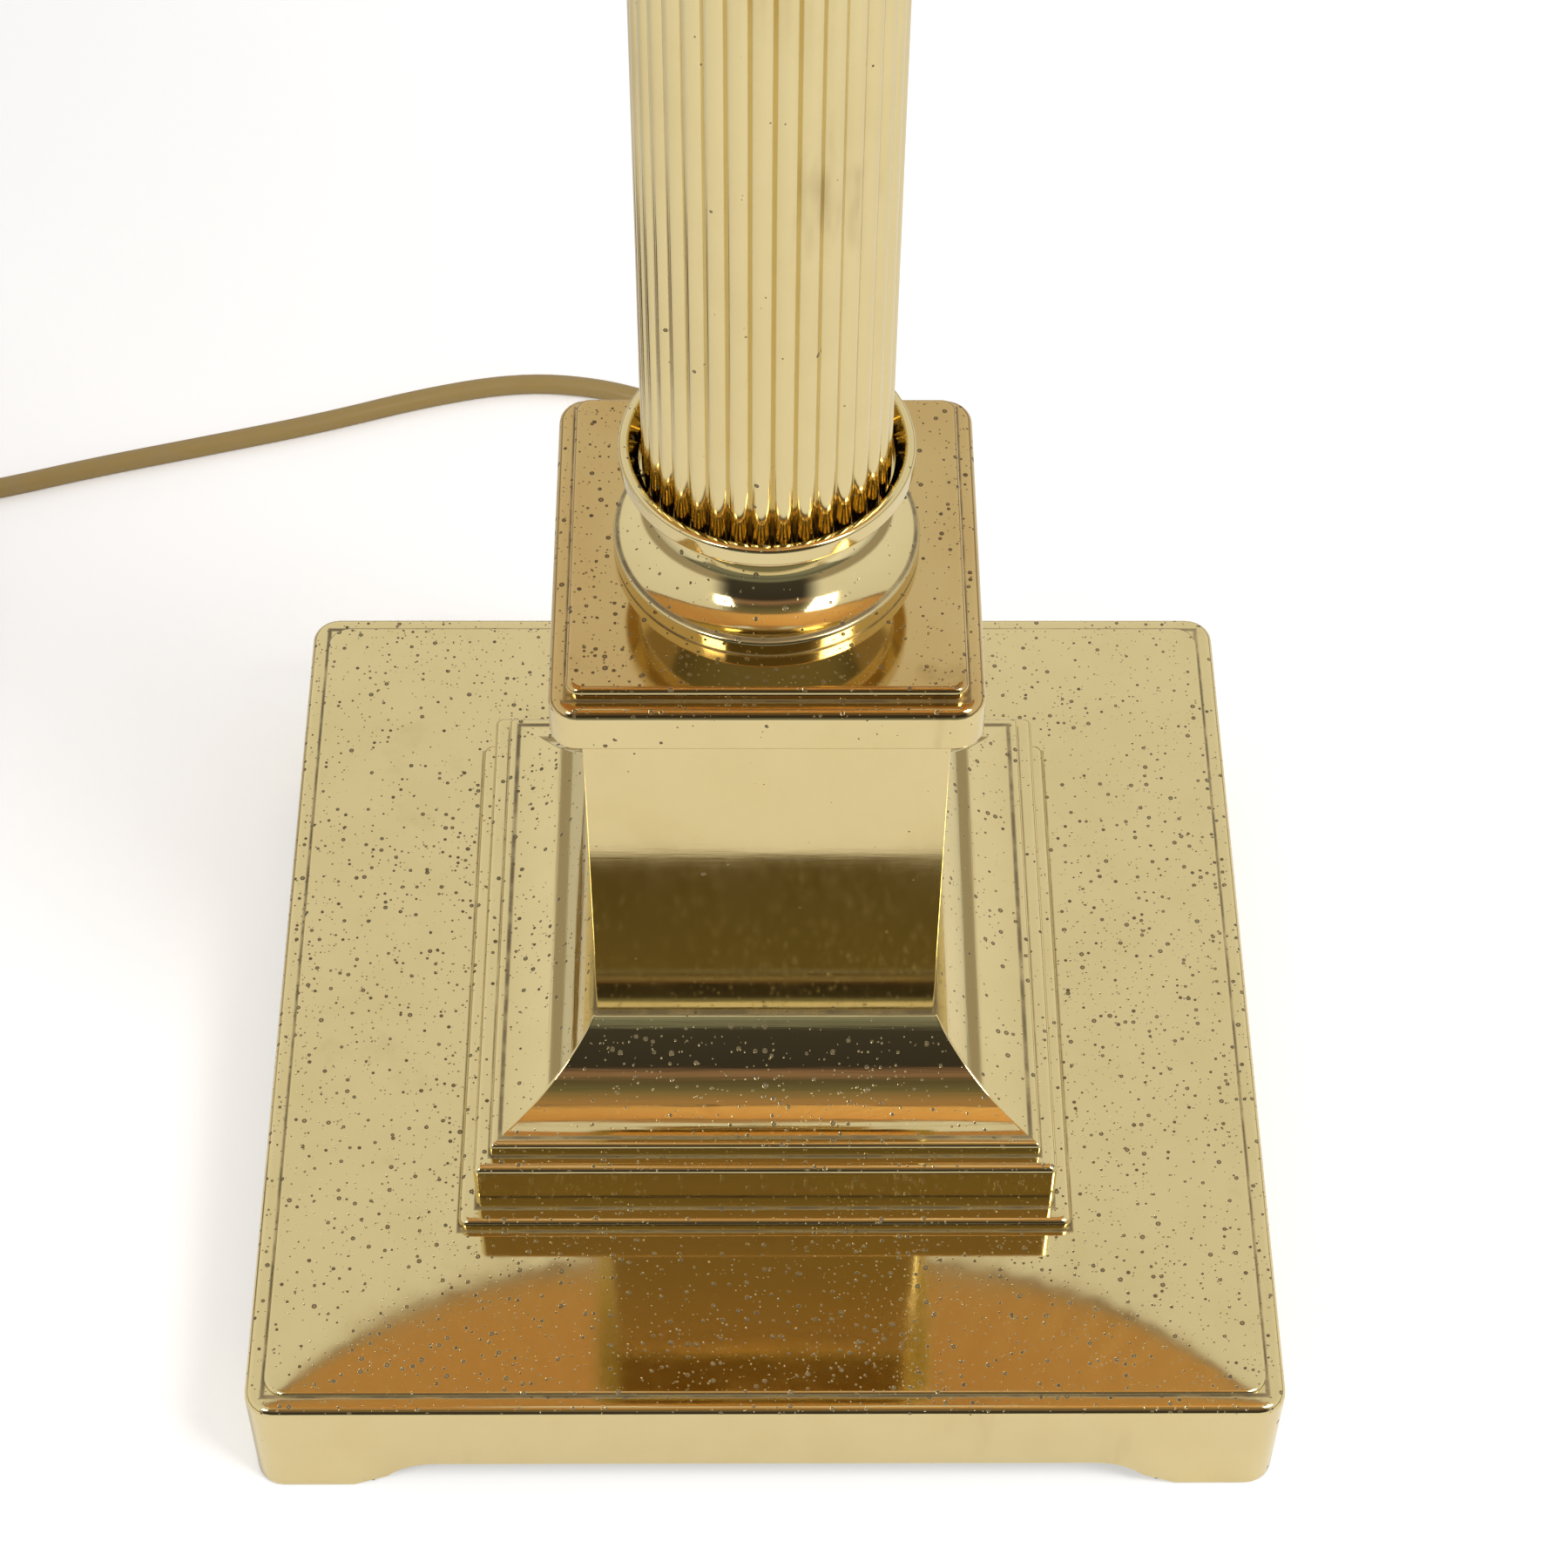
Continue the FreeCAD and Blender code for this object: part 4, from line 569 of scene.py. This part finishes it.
def repeat_round(obj, count, material, turn=0.0, join=0.02 * MM, unevenness=0.0):
    """Runs the round repeat on a piece and keeps the result as its plain mesh."""
    tree = bpy.data.node_groups.get("round_repeat") or round_repeat_tree()
    modifier = obj.modifiers.new("repeat", "NODES")
    modifier.node_group = tree
    values = {"Count": count, "Turn": turn, "Join": join, "Unevenness": unevenness, "Material": material}
    for item in tree.interface.items_tree:
        if item.in_out == "INPUT" and item.name in values:
            modifier[item.identifier] = values[item.name]
    ready = obj.evaluated_get(bpy.context.evaluated_depsgraph_get())
    mesh = bpy.data.meshes.new_from_object(ready)
    obj.modifiers.clear()
    obj.data = mesh
    return obj


def dress_node(node, material):
    """Gives a CAD node its finish."""
    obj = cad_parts[node]
    obj.data.materials.clear()
    obj.data.materials.append(material)


# ---- operators -------------------------------------------------------------------------------------


class LampStep(bpy.types.Operator):
    """Base of the lamp's steps."""

    bl_options = {"REGISTER", "UNDO"}

    def execute(self, context):
        self.make(context.scene.lamp_sizes, context.scene.lamp_colours)
        return {"FINISHED"}


class LAMP_OT_camera(LampStep):
    """Sets the camera at the photograph's place and angle"""

    bl_idname = "lamp.camera"
    bl_label = "Camera"

    def make(self, sizes, colours):
        yaw, pitch, roll = (math.radians(a) for a in (CAMERA_YAW, CAMERA_PITCH, CAMERA_ROLL))
        ahead = Vector((math.sin(yaw) * math.cos(pitch), math.cos(yaw) * math.cos(pitch), -math.sin(pitch)))
        right = Vector((math.cos(yaw), -math.sin(yaw), 0))
        up = right.cross(ahead)
        x = right * math.cos(roll) + up * math.sin(roll)
        y = up * math.cos(roll) - right * math.sin(roll)
        data = bpy.data.cameras.new("camera")
        data.lens = CAMERA_LENS
        data.sensor_width = CAMERA_SENSOR
        data.clip_start = 0.01
        camera = bpy.data.objects.new("camera", data)
        bpy.context.collection.objects.link(camera)
        axes = Matrix((x, y, -ahead)).transposed().to_4x4()
        camera.matrix_world = Matrix.Translation(CAMERA_PLACE) @ axes
        bpy.context.scene.camera = camera


def coil_place(quarter):
    """The coil's middle line after a number of quarter turns, and its heading there."""
    reversal = 2 * COIL_TURNS
    radius = COIL_MID_RADIUS + COIL_PITCH * (COIL_TURNS - reversal + abs(reversal - quarter)) / 4
    climbed = min(max((quarter - reversal + 1) / 2, 0.0), 1.0)
    angle = math.radians(COIL_START + 90.0 * quarter)
    out, along = Vector((math.cos(angle), math.sin(angle), 0)), Vector((-math.sin(angle), math.cos(angle), 0))
    middle = Vector((*COIL_CENTRE, FLEX_RADIUS + COIL_PITCH * climbed))
    return middle, out, along, radius


def coil_points():
    """Control points of the coil's turns, set out a little so that the smooth line has their radius."""
    last = 4 * COIL_TURNS + 1
    per_quarter = COIL_STEPS // 4
    grown = 1 / (0.75 + 0.25 * math.cos(2 * math.pi / COIL_STEPS))
    points = []
    for step in range(last * per_quarter + 1):
        middle, out, along, radius = coil_place(step / per_quarter)
        if step == 0:
            points.append(middle + out * radius - along * FLEX_RADIUS * 2)
        points.append(middle + out * radius * grown)
    points.append(middle + out * radius + along * FLEX_RADIUS * 2)
    return points


class LAMP_OT_flex(LampStep):
    """Lays the flex from the bush over the table to its coil and its plug"""

    bl_idname = "lamp.flex"
    bl_label = "Flex"

    def make(self, sizes, colours):
        entry = Vector(PLUG_ENTRY)
        route = [Vector(p) for p in [BUSH_TIP] + FLEX_ROUTE] + coil_points()
        route += [Vector(p) for p in TAIL_ROUTE] + [entry + Vector((0, 0.011, 0)), entry]
        data = bpy.data.curves.new("flex", "CURVE")
        data.dimensions = "3D"
        data.bevel_depth = FLEX_RADIUS
        data.bevel_resolution = 5
        data.resolution_u = 6
        data.use_fill_caps = True
        spline = data.splines.new("NURBS")
        spline.points.add(len(route) - 1)
        for point, place in zip(spline.points, route):
            point.co = (*place, 1.0)
        spline.order_u = 3
        spline.use_endpoint_u = True
        flex = bpy.data.objects.new("flex", data)
        bpy.context.collection.objects.link(flex)
        dress(flex, "lamp", "gold_flex", flex_material(colours), "flex_run", "flex_coil", "flex_tail")


class LAMP_OT_bush(LampStep):
    """Makes the tapered strain relief where the flex leaves the base"""

    bl_idname = "lamp.bush"
    bl_label = "Flex bush"

    def make(self, sizes, colours):
        rubber = plastic("brown_rubber", (0.055, 0.035, 0.018), 0.45, 1800.0, 0.00003)
        start = 115.0
        outline = [(2.85, start - 5.6), (7.0, start - 5.6, 0.4), (7.0, start - 2.6), (4.9, start - 2.6),
                   (4.9, start), (7.0, start), (7.0, start + 1.6, 0.5), (4.9, start + 1.6, 0.3)]
        for rib in range(4):
            place = start + 4.0 + rib * 4.6
            wide = 4.75 - 0.3 * rib
            outline += [(wide, place), (wide - 0.85, place + 0.5, 0.2), (wide - 0.9, place + 1.7, 0.2),
                        (wide - 0.1, place + 2.2)]
        outline += [(3.7, start + 25.6, 0.4), (2.85, start + 25.6)]
        bush = turned_piece("bush", filleted(outline, 3), 40)
        exit_height = BUSH_TIP[2]
        bush.data.transform(Matrix.Translation((0, 0, exit_height)) @ Matrix.Rotation(-math.pi / 2, 4, "X"))
        dress(bush, "lamp", "black_rubber", rubber, "cord_bush")


def foot_edge(along):
    """Height of the base's lower edge: a foot at each end of a side and a quarter curve beside it."""
    inner, outer, apron, foot = 74.0, 87.0, 10.2, 0.8
    if along >= outer:
        return foot
    if along <= inner:
        return apron
    rise = apron - foot
    radius = ((outer - inner) ** 2 + rise**2) / (2 * rise)
    return apron - radius + math.sqrt(radius**2 - (along - inner) ** 2)


class LAMP_OT_base(LampStep):
    """Makes the square base: feet, aprons, rounded rim and a slightly domed top"""

    bl_idname = "lamp.base"
    bl_label = "Base"

    def make(self, sizes, colours):
        wall, skin = 2.6, 2.4
        outer, rim, step = 115.0, 110.8, 33.4
        flat_half, crown = 77.0, BASE_TOP + 0.35
        plinth_foot = BASE_TOP + 0.2
        # The top is flat under the plinth and falls away from it as a parabola of this curvature.
        fall = 0.00136
        rows = filleted([
            (outer, 20.0), (outer, step, 2.0), (rim, step), (rim, step + 0.85, 0.8), (104.0, step + 1.0),
        ])
        rows = [(outer, None)] + [(h, z, 5.0) if h < rim + 0.1 else (h, z) for h, z in rows[1:-1]]
        for half in (108.0, 105.0, 102.0, 99.0, 96.0, 93.0, 90.0, 87.0, 84.0, 80.0, 76.0, 70.0, 60.0):
            drop = fall / 2 * max(half - flat_half, 0.0) ** 2
            rows.append((half, crown - drop, 4.2 + (110.0 - half) * 0.65))
        rows += [(60.0, BASE_TOP - skin), (outer - wall - 1.2, BASE_TOP - skin),
                 (outer - wall, BASE_TOP - skin - 1.2), (outer - wall, None)]
        places = [
            0.0, 20.0, 40.0, 58.0, 74.0, 75.5, 77.5, 79.5, 81.5, 83.5, 85.0, 86.2, 87.0, 95.0, 103.0, 111.0,
        ]
        shares = [place / places[-1] for place in places]
        marks = [-share for share in reversed(shares[1:])] + shares
        base = square_piece("base", rows, 6.5, marks, foot_edge)
        material = brass("brass_base", colours, pitting=1.25, waves=0.03, stain=0.12,
                         dirt_and_shade_corners=[(rim, step), (PLINTH_HALF, plinth_foot)])
        dress(base, "lamp", "brass", material, "base_plate")


class LAMP_OT_plinth(LampStep):
    """Makes the stepped plinth with its scotia"""

    bl_idname = "lamp.plinth"
    bl_label = "Plinth"

    def make(self, sizes, colours):
        foot = BASE_TOP + 0.2
        steps = filleted([
            (30.0, foot), (PLINTH_HALF, foot), (PLINTH_HALF, 38.3, 1.4), (65.4, 38.3), (65.4, 54.0, 1.6),
            (61.6, 54.0), (61.6, 58.2, 1.2), (59.3, 58.2), (40.0, 58.2),
        ])[:-1]
        scotia = ellipse_arc((62.48, 94.05), (28.1, 36.2), 262.0, 211.0, 22)
        rows = steps + scotia + [(38.3, PLINTH_TOP - 0.5), (38.3, PLINTH_TOP), (30.0, PLINTH_TOP)]
        corner = 2.2
        rows = [(h, z, max(0.45, corner - (PLINTH_HALF - h) * 0.2)) for h, z in rows]
        plinth = square_piece("plinth", rows, corner, (-1.0, -0.5, 0.0, 0.5, 1.0), corner_steps=4)
        # Inner corners darkened with dirt and painted shade.
        dirt_and_shade_corners = [(PLINTH_HALF, foot), (65.4, 38.3), (61.6, 54.0), (59.3, 58.2), (38.0, PLINTH_TOP)]
        material = brass("brass_plinth", colours, streaks=(0.5, 0.5, 20.0), streak_depth=0.02, dirt_and_shade_corners=dirt_and_shade_corners)
        dress(plinth, "lamp", "brass", material, "plinth")


class LAMP_OT_dado(LampStep):
    """Makes the square box above the plinth"""

    bl_idname = "lamp.dado"
    bl_label = "Box"

    def make(self, sizes, colours):
        inner = DADO_HALF - 1.8
        rows = [(DADO_HALF, PLINTH_TOP), (DADO_HALF, CAP_BOTTOM), (inner, CAP_BOTTOM), (inner, PLINTH_TOP)]
        box = square_piece("box", rows, 0.35, (-1.0, 0.0, 1.0), corner_steps=4)
        material = brass("brass_box", colours, pitting=0.35, streak_depth=0.004,
                         dirt_and_shade_corners=[(DADO_HALF, PLINTH_TOP), (DADO_HALF, CAP_BOTTOM)])
        dress(box, "lamp", "brass", material, "dado_box")


class LAMP_OT_cap(LampStep):
    """Makes the stepped square cap of the box"""

    bl_idname = "lamp.cap"
    bl_label = "Cap"

    def make(self, sizes, colours):
        rows = filleted([
            (43.9, CAP_BOTTOM, 0.3), (43.9, 188.5, 2.2), (40.3, 188.5), (40.3, CAP_TOP, 1.2), (20.0, CAP_TOP),
            (20.0, 188.8), (33.3, 188.8), (33.3, CAP_BOTTOM),
        ])
        rows = [(h, z, 2.8) if h < 40.4 else (h, z) for h, z in rows]
        cap = square_piece("cap", rows, 6.0, (-1.0, -0.4, 0.4, 1.0))
        material = brass("brass_cap", colours, pitting=1.7, stain=0.35, upward_browning=0.75, dirt_and_shade_corners=[(40.3, 188.5)])
        dress(cap, "lamp", "brass", material, "cap_moulding")


def collar_rows():
    """Half section of the collar at the foot of the column: a ring, a hollow flare and a cup with a lip."""
    flare_foot, flare_top = (30.6, 195.88), (20.9, 204.4)
    foot = filleted([(20.0, CAP_TOP), (COLLAR_RADIUS, CAP_TOP), (COLLAR_RADIUS, 195.4, 0.9), flare_foot])
    flare = arc_through(flare_foot, flare_top, 13.0, False, 20)
    lip = filleted([
        flare_top, (26.6, 213.4, 0.8), (26.6, 217.1, 0.4), (29.7, 217.1, 0.5), (29.7, 221.4, 0.95),
        (27.8, 221.4, 0.9), (25.7, 217.4, 0.8), (25.45, COLUMN_BOTTOM), (20.0, COLUMN_BOTTOM),
    ])[1:]
    return foot + flare + lip


class LAMP_OT_collars(LampStep):
    """Turns the collar that holds the column's foot and its twin at the top"""

    bl_idname = "lamp.collars"
    bl_label = "Collars"

    def make(self, sizes, colours):
        material = brass("brass_collar", colours, pitting=0.6, waves=0.02, streak_depth=0.004, turned=True,
                         dirt_and_shade_corners=[(COLLAR_RADIUS, CAP_TOP), (30.6, 195.9)])
        rows = collar_rows()
        lower = turned_piece("collar_lower", rows, 128)
        upper_rows = [(radius, ABACUS_BOTTOM + CAP_TOP - height) for radius, height in reversed(rows)]
        upper = turned_piece("collar_upper", upper_rows, 128)
        dress(weight_normals(lower), "lamp", "brass", material, "lower_collar")
        dress(weight_normals(upper), "lamp", "brass", material, "upper_collar")


class LAMP_OT_column(LampStep):
    """Repeats one reed round the column"""

    bl_idname = "lamp.column"
    bl_label = "Column"

    def make(self, sizes, colours):
        reed, crest = sizes.reed_radius / MM, sizes.column_radius / MM
        middle, bore = crest - reed, 22.4
        half_pitch = math.pi / sizes.reed_count
        reach = half_pitch + math.asin(middle / reed * math.sin(half_pitch))
        steps = 12
        points = []
        for height in (COLUMN_BOTTOM, COLUMN_TOP):
            for step in range(steps + 1):
                share = step / steps * 2 - 1
                angle = share * reach
                points.append((middle + reed * math.cos(angle), reed * math.sin(angle), height))
            for step in range(steps + 1):
                angle = (step / steps * 2 - 1) * half_pitch
                points.append((bore * math.cos(angle), bore * math.sin(angle), height))
        wall, level = steps + 1, 2 * (steps + 1)
        faces = []
        for step in range(steps):
            a, b = step, step + 1
            faces.append((a, b, b + level, a + level))
            faces.append((b + wall, a + wall, a + wall + level, b + wall + level))
            faces.append((b, a, a + wall, b + wall))
            faces.append((a + level, b + level, b + wall + level, a + wall + level))
        material = brass("brass_column", colours, pitting=0.4, streaks=(5.0, 5.0, 0.12), streak_depth=0.06,
                         waves=0.03, dull=0.13, stain=0.45)
        column = new_piece("column", points, faces)
        column.data.flip_normals()
        repeat_round(column, sizes.reed_count, material, turn=math.radians(-93.0))
        bpy.context.view_layer.update()
        dress(column, "lamp", "brass", None, "column_tube")


class LAMP_OT_top(LampStep):
    """Makes the abacus above the column and the turned neck under the lampholder"""

    bl_idname = "lamp.top"
    bl_label = "Abacus and neck"

    def make(self, sizes, colours):
        rows = filleted([
            (20.0, ABACUS_BOTTOM), (34.6, ABACUS_BOTTOM), (34.6, 516.2), (38.6, 516.2, 0.3),
            (38.6, 526.8, 2.2), (35.4, 526.8), (35.4, ABACUS_TOP, 1.2), (20.0, ABACUS_TOP),
        ])
        abacus = square_piece("abacus", rows, 2.8, (-1.0, 0.0, 1.0))
        dress(abacus, "lamp", "brass", brass("brass_abacus", colours, pitting=1.0), "abacus")
        waist = arc_through((23.5, 533.8), (10.5, 549.6), 16.7, False, 14)
        section = filleted([(6.0, ABACUS_TOP), (25.0, ABACUS_TOP), (25.0, 533.8, 1.3), (23.5, 533.8)])
        section += waist + [(10.5, HOLDER_BOTTOM), (6.0, HOLDER_BOTTOM)]
        neck = turned_piece("neck", section)
        dress(weight_normals(neck), "lamp", "brass", brass("brass_neck", colours, pitting=0.4), "neck")


def pleat_section(sizes, height):
    """Radius of the cover's inner side and depth of its pleats at a height, in millimetres."""
    share = (height - SHADE_BOTTOM) / (SHADE_TOP - SHADE_BOTTOM)
    radius = SHADE_LOW_RADIUS + (SHADE_HIGH_RADIUS - SHADE_LOW_RADIUS) * share
    pitch = 2 * math.pi * radius / sizes.pleat_count
    cloth = sizes.pleat_cloth / MM
    return radius, math.sqrt(max(cloth**2 - pitch**2, 1.0)) / 2 * 0.9


def pleat_strip(name, sizes, heights, stand_off, steps=8):
    """One pleat of the cover, or of a band that follows it, as an open strip."""
    half = math.pi / sizes.pleat_count
    points, faces = [], []
    for height in heights:
        radius, depth = pleat_section(sizes, height)
        for step in range(steps + 1):
            share = step / steps
            fold = (0.5 - 0.5 * math.cos(2 * math.pi * share)) ** 0.85
            angle = (share * 2 - 1) * half
            reach = radius + stand_off + depth * fold
            points.append((reach * math.cos(angle), reach * math.sin(angle), height))
    across = steps + 1
    for row in range(len(heights) - 1):
        for step in range(steps):
            a = row * across + step
            faces.append((a, a + 1, a + 1 + across, a + across))
    strip = new_piece(name, points, faces)
    layer = strip.data.uv_layers.new(name="cloth")
    for loop in strip.data.loops:
        place = strip.data.vertices[loop.vertex_index].co
        layer.data[loop.index].uv = (math.atan2(place.y, place.x) * 0.2, place.z)
    return strip


def pleated(name, sizes, heights, stand_off, thick, material, unevenness):
    """A whole pleated cover or band with its thickness."""
    piece = pleat_strip(name, sizes, heights, stand_off)
    repeat_round(piece, sizes.pleat_count, material, join=0.05 * MM, unevenness=unevenness)
    solid = piece.modifiers.new("cloth", "SOLIDIFY")
    solid.thickness = thick * MM
    solid.offset = 1.0
    return piece


class LAMP_OT_shade(LampStep):
    """Pleats the shade's cover and binds its two edges"""

    bl_idname = "lamp.shade"
    bl_label = "Shade"

    def make(self, sizes, colours):
        heights = [SHADE_BOTTOM + (SHADE_TOP - SHADE_BOTTOM) * n / 10 for n in range(11)]
        cloth = cloth_material("pleated_cloth", colours.cloth, 0.85, colours.lit_cloth)
        cover = pleated("shade_cloth", sizes, heights, 0.1, sizes.cloth_thick / MM, cloth, 0.0012)
        dress(cover, "shade", "shade_fabric", None, "shade_cover")
        darker = [value * 0.8 for value in colours.cloth]
        braid = cloth_material("binding", darker, 0.1, colours.cloth, 900.0, 0.0001)
        wide = 9.0
        for name, low in (("shade_trim_bottom", SHADE_BOTTOM), ("shade_trim_top", SHADE_TOP - wide)):
            band = pleated(name + "_band", sizes, [low, low + wide / 2, low + wide], 0.75, 0.6, braid, 0.0012)
            dress(band, "shade", "shade_braid", None, name)


class LAMP_OT_knurled_ring(LampStep):
    """Repeats the ribs of the ring that holds the shade's gimbal"""

    bl_idname = "lamp.knurled_ring"
    bl_label = "Knurled ring"

    def make(self, sizes, colours):
        low, high = 593.0, 599.0
        inner, outer, depth = 19.7, 25.9, 0.5
        half = math.pi / sizes.knurl_count
        bevel = 0.8
        levels = [(inner, low), (outer - bevel, low), (outer, low + bevel), (outer, high - bevel),
                  (outer - bevel, high), (inner, high)]
        angles = [-half, -half * 0.35, half * 0.35, half]
        points, faces = [], []
        for radius, height in levels:
            for angle in angles:
                cut = depth if abs(angle) == half and radius > inner else 0.0
                points.append(((radius - cut) * math.cos(angle), (radius - cut) * math.sin(angle), height))
        across = len(angles)
        for row in range(len(levels)):
            above = (row + 1) % len(levels)
            for step in range(across - 1):
                a, b = row * across + step, above * across + step
                faces.append((a, a + 1, b + 1, b))
        material = brass("brass_ring", colours, pitting=0.3)
        ring = new_piece("knurled_ring", points, faces)
        repeat_round(ring, sizes.knurl_count, material)
        dress(ring, "lamp", "brass", None, "shade_ring")


class LAMP_OT_finishes(LampStep):
    """Gives the remaining parts of the lamp their finishes"""

    bl_idname = "lamp.finishes"
    bl_label = "Other finishes"

    def make(self, sizes, colours):
        holder = brass("brass_holder", colours, pitting=0.25, waves=0.02, streak_depth=0.004)
        bright = plain_metal("turned_brass", (0.80, 0.58, 0.26), 0.22)
        steel = plain_metal("zinc_plated_steel", (0.56, 0.57, 0.58), 0.32)
        wire = plastic("cream_enamelled_wire", (0.62, 0.52, 0.34), 0.35)
        rubber = plastic("black_rubber", (0.025, 0.024, 0.023), 0.55)
        ceramic = plastic("glazed_porcelain", (0.82, 0.80, 0.74), 0.2, coat=0.6)
        flex = bpy.data.materials["gold_pvc_flex"]
        finishes = {
            holder: ("holder_cap", "holder_shell"),
            bright: ("socket_thread", "centre_contact", "earth_screw", "plug_pins"),
            steel: ("ballast_plate", "centring_discs", "centre_tube", "tube_washer", "tube_nut",
                    "clip_screws", "earth_tag", "plug_screw"),
            wire: ("shade_gimbal", "shade_bottom_ring", "shade_top_ring"),
            felt_material(): ("foot_pads",),
            ceramic: ("holder_insert",),
            plastic("ivory_switch", (0.72, 0.64, 0.48), 0.3, coat=0.3): ("switch_bar",),
            rubber: ("flex_clip",),
            plastic("black_plug", (0.02, 0.02, 0.021), 0.25, coat=0.3): ("plug_cover", "plug_base"),
            flex: ("inner_flex",),
            plastic("brown_core", (0.16, 0.06, 0.03), 0.4): ("core_live",),
            plastic("blue_core", (0.03, 0.12, 0.45), 0.4): ("core_neutral",),
            plastic("green_and_yellow_core", (0.25, 0.42, 0.05), 0.4): ("core_earth",),
        }
        for material, nodes in finishes.items():
            for node in nodes:
                dress_node(node, material)


class LAMP_OT_stage(LampStep):
    """Sets the pale table, the plain studio round it and two soft lamps"""

    bl_idname = "lamp.stage"
    bl_label = "Stage"

    def make(self, sizes, colours):
        self.table()
        self.studio()
        self.soft_lamp("soft_lamp_right", (1.05, -0.75, 1.75), (0.55, 0.75), 19.0)
        self.soft_lamp("soft_lamp_left", (-0.95, -1.15, 1.55), (0.4, 0.5), 7.0)

    def table(self):
        """The floor: white, and grey where the brass mirrors its edge on the viewer's side."""
        mesh = bpy.data.meshes.new("table")
        reach = 6.0
        mesh.from_pydata([(-reach, -reach, 0), (reach, -reach, 0), (reach, reach, 0), (-reach, reach, 0)], [],
                         [(0, 1, 2, 3)])
        table = bpy.data.objects.new("table", mesh)
        bpy.context.collection.objects.link(table)
        material, net = new_material("white_table")
        seen = net.add("ShaderNodeLightPath", output="Is Camera Ray")
        shone = net.add("ShaderNodeLightPath", output="Is Glossy Ray")
        away = net.part(net.place(), 1)
        dim = away.between(-0.62, -0.46, 1.0, 0.0) * shone
        white = net.mix(dim, (0.88, 0.88, 0.88), (0.25, 0.265, 0.235))
        lift = net.mix(dim, (1.0, 1.0, 1.0), (0.0, 0.0, 0.0))
        matt = net.add("ShaderNodeBsdfDiffuse", None, {"Color": white})
        glow = net.add("ShaderNodeEmission", None, {"Color": lift, "Strength": seen * 0.3 + shone * 0.06})
        both = net.add("ShaderNodeAddShader", None, {0: matt, 1: glow})
        net.add("ShaderNodeOutputMaterial", None, {"Surface": both})
        mesh.materials.append(material)

    def studio(self):
        """White for the camera, soft grey light on matt surfaces, and a plain room for brass to mirror."""
        world = bpy.data.worlds.new("studio")
        bpy.context.scene.world = world
        world.use_nodes = True
        world.node_tree.nodes.clear()
        net = Net(world.node_tree)
        way = net.add("ShaderNodeTexCoord", output="Generated")
        across, away, up = (net.part(way, axis) for axis in range(3))
        height = up.maths("ARCSINE") * (180 / math.pi)
        flat = (across * across + away * away).maths("SQRT")
        front = ((0.0 - away) / (flat + 0.001)).between(0.62, 0.86)
        # The room on the viewer's side, by height in degrees: table's edge, dark room, warm ceiling.
        stops = [
            (-5.0, (0.25, 0.265, 0.235)), (1.0, (0.22, 0.23, 0.20)), (4.0, (0.06, 0.055, 0.05)),
            (34.0, (0.045, 0.04, 0.037)), (40.0, (0.34, 0.21, 0.15)), (46.0, (0.12, 0.10, 0.06)),
            (54.0, (0.18, 0.16, 0.09)), (58.0, (0.28, 0.21, 0.11)), (66.0, (0.45, 0.27, 0.13)),
        ]
        dark = net.add("ShaderNodeValToRGB", {"stops": [((h + 90) / 180, c) for h, c in stops]},
                       {0: (height + 90) / 180})
        pale = net.mix(height.between(20.0, 70.0), (0.93, 0.92, 0.90), (0.84, 0.83, 0.79))
        pale = net.mix(height.between(14.0, 9.0), pale, (0.42, 0.37, 0.30))
        shone = net.add("ShaderNodeLightPath", output="Is Glossy Ray")
        seen = net.add("ShaderNodeLightPath", output="Is Camera Ray")
        light = net.mix(shone, (0.6, 0.6, 0.6), net.mix(front, pale, dark))
        light = net.mix(seen, light, (1.0, 1.0, 1.0))
        sky = net.add("ShaderNodeBackground", None, {"Color": light, "Strength": 1.0})
        net.add("ShaderNodeOutputWorld", None, {"Surface": sky})

    def soft_lamp(self, name, place, size, power):
        data = bpy.data.lights.new(name, "AREA")
        data.shape = "RECTANGLE"
        data.size, data.size_y = size
        data.energy = power
        lamp = bpy.data.objects.new(name, data)
        bpy.context.collection.objects.link(lamp)
        aim = Vector((0, 0, 0.15)) - Vector(place)
        lamp.matrix_world = Matrix.Translation(place) @ aim.to_track_quat("-Z", "Y").to_matrix().to_4x4()


class LAMP_PT_panel(bpy.types.Panel):
    """The lamp's sizes, colours and steps"""

    bl_label = "Column table lamp"
    bl_idname = "LAMP_PT_panel"
    bl_space_type = "VIEW_3D"
    bl_region_type = "UI"
    bl_category = "Lamp"

    def draw(self, context):
        for group in (context.scene.lamp_sizes, context.scene.lamp_colours):
            for name in group.bl_rna.properties.keys():
                if name not in ("rna_type", "name"):
                    self.layout.prop(group, name)
        for step in STEPS:
            self.layout.operator(step.bl_idname)


STEPS = (
    LAMP_OT_camera, LAMP_OT_flex, LAMP_OT_bush, LAMP_OT_base, LAMP_OT_plinth, LAMP_OT_dado, LAMP_OT_cap,
    LAMP_OT_collars, LAMP_OT_column, LAMP_OT_top, LAMP_OT_knurled_ring, LAMP_OT_shade, LAMP_OT_finishes,
    LAMP_OT_stage,
)
CLASSES = (LampSizes, LampColours) + STEPS + (LAMP_PT_panel,)


def register():
    for cls in CLASSES:
        bpy.utils.register_class(cls)
    bpy.types.Scene.lamp_sizes = PointerProperty(type=LampSizes)
    bpy.types.Scene.lamp_colours = PointerProperty(type=LampColours)


def unregister():
    del bpy.types.Scene.lamp_colours
    del bpy.types.Scene.lamp_sizes
    for cls in reversed(CLASSES):
        bpy.utils.unregister_class(cls)


def main():
    register()
    bpy.context.scene.view_settings.view_transform = "Standard"
    for step in STEPS:
        getattr(bpy.ops.lamp, step.bl_idname.split(".")[1])()
    bpy.context.view_layer.update()


if __name__ == "__main__":
    main()
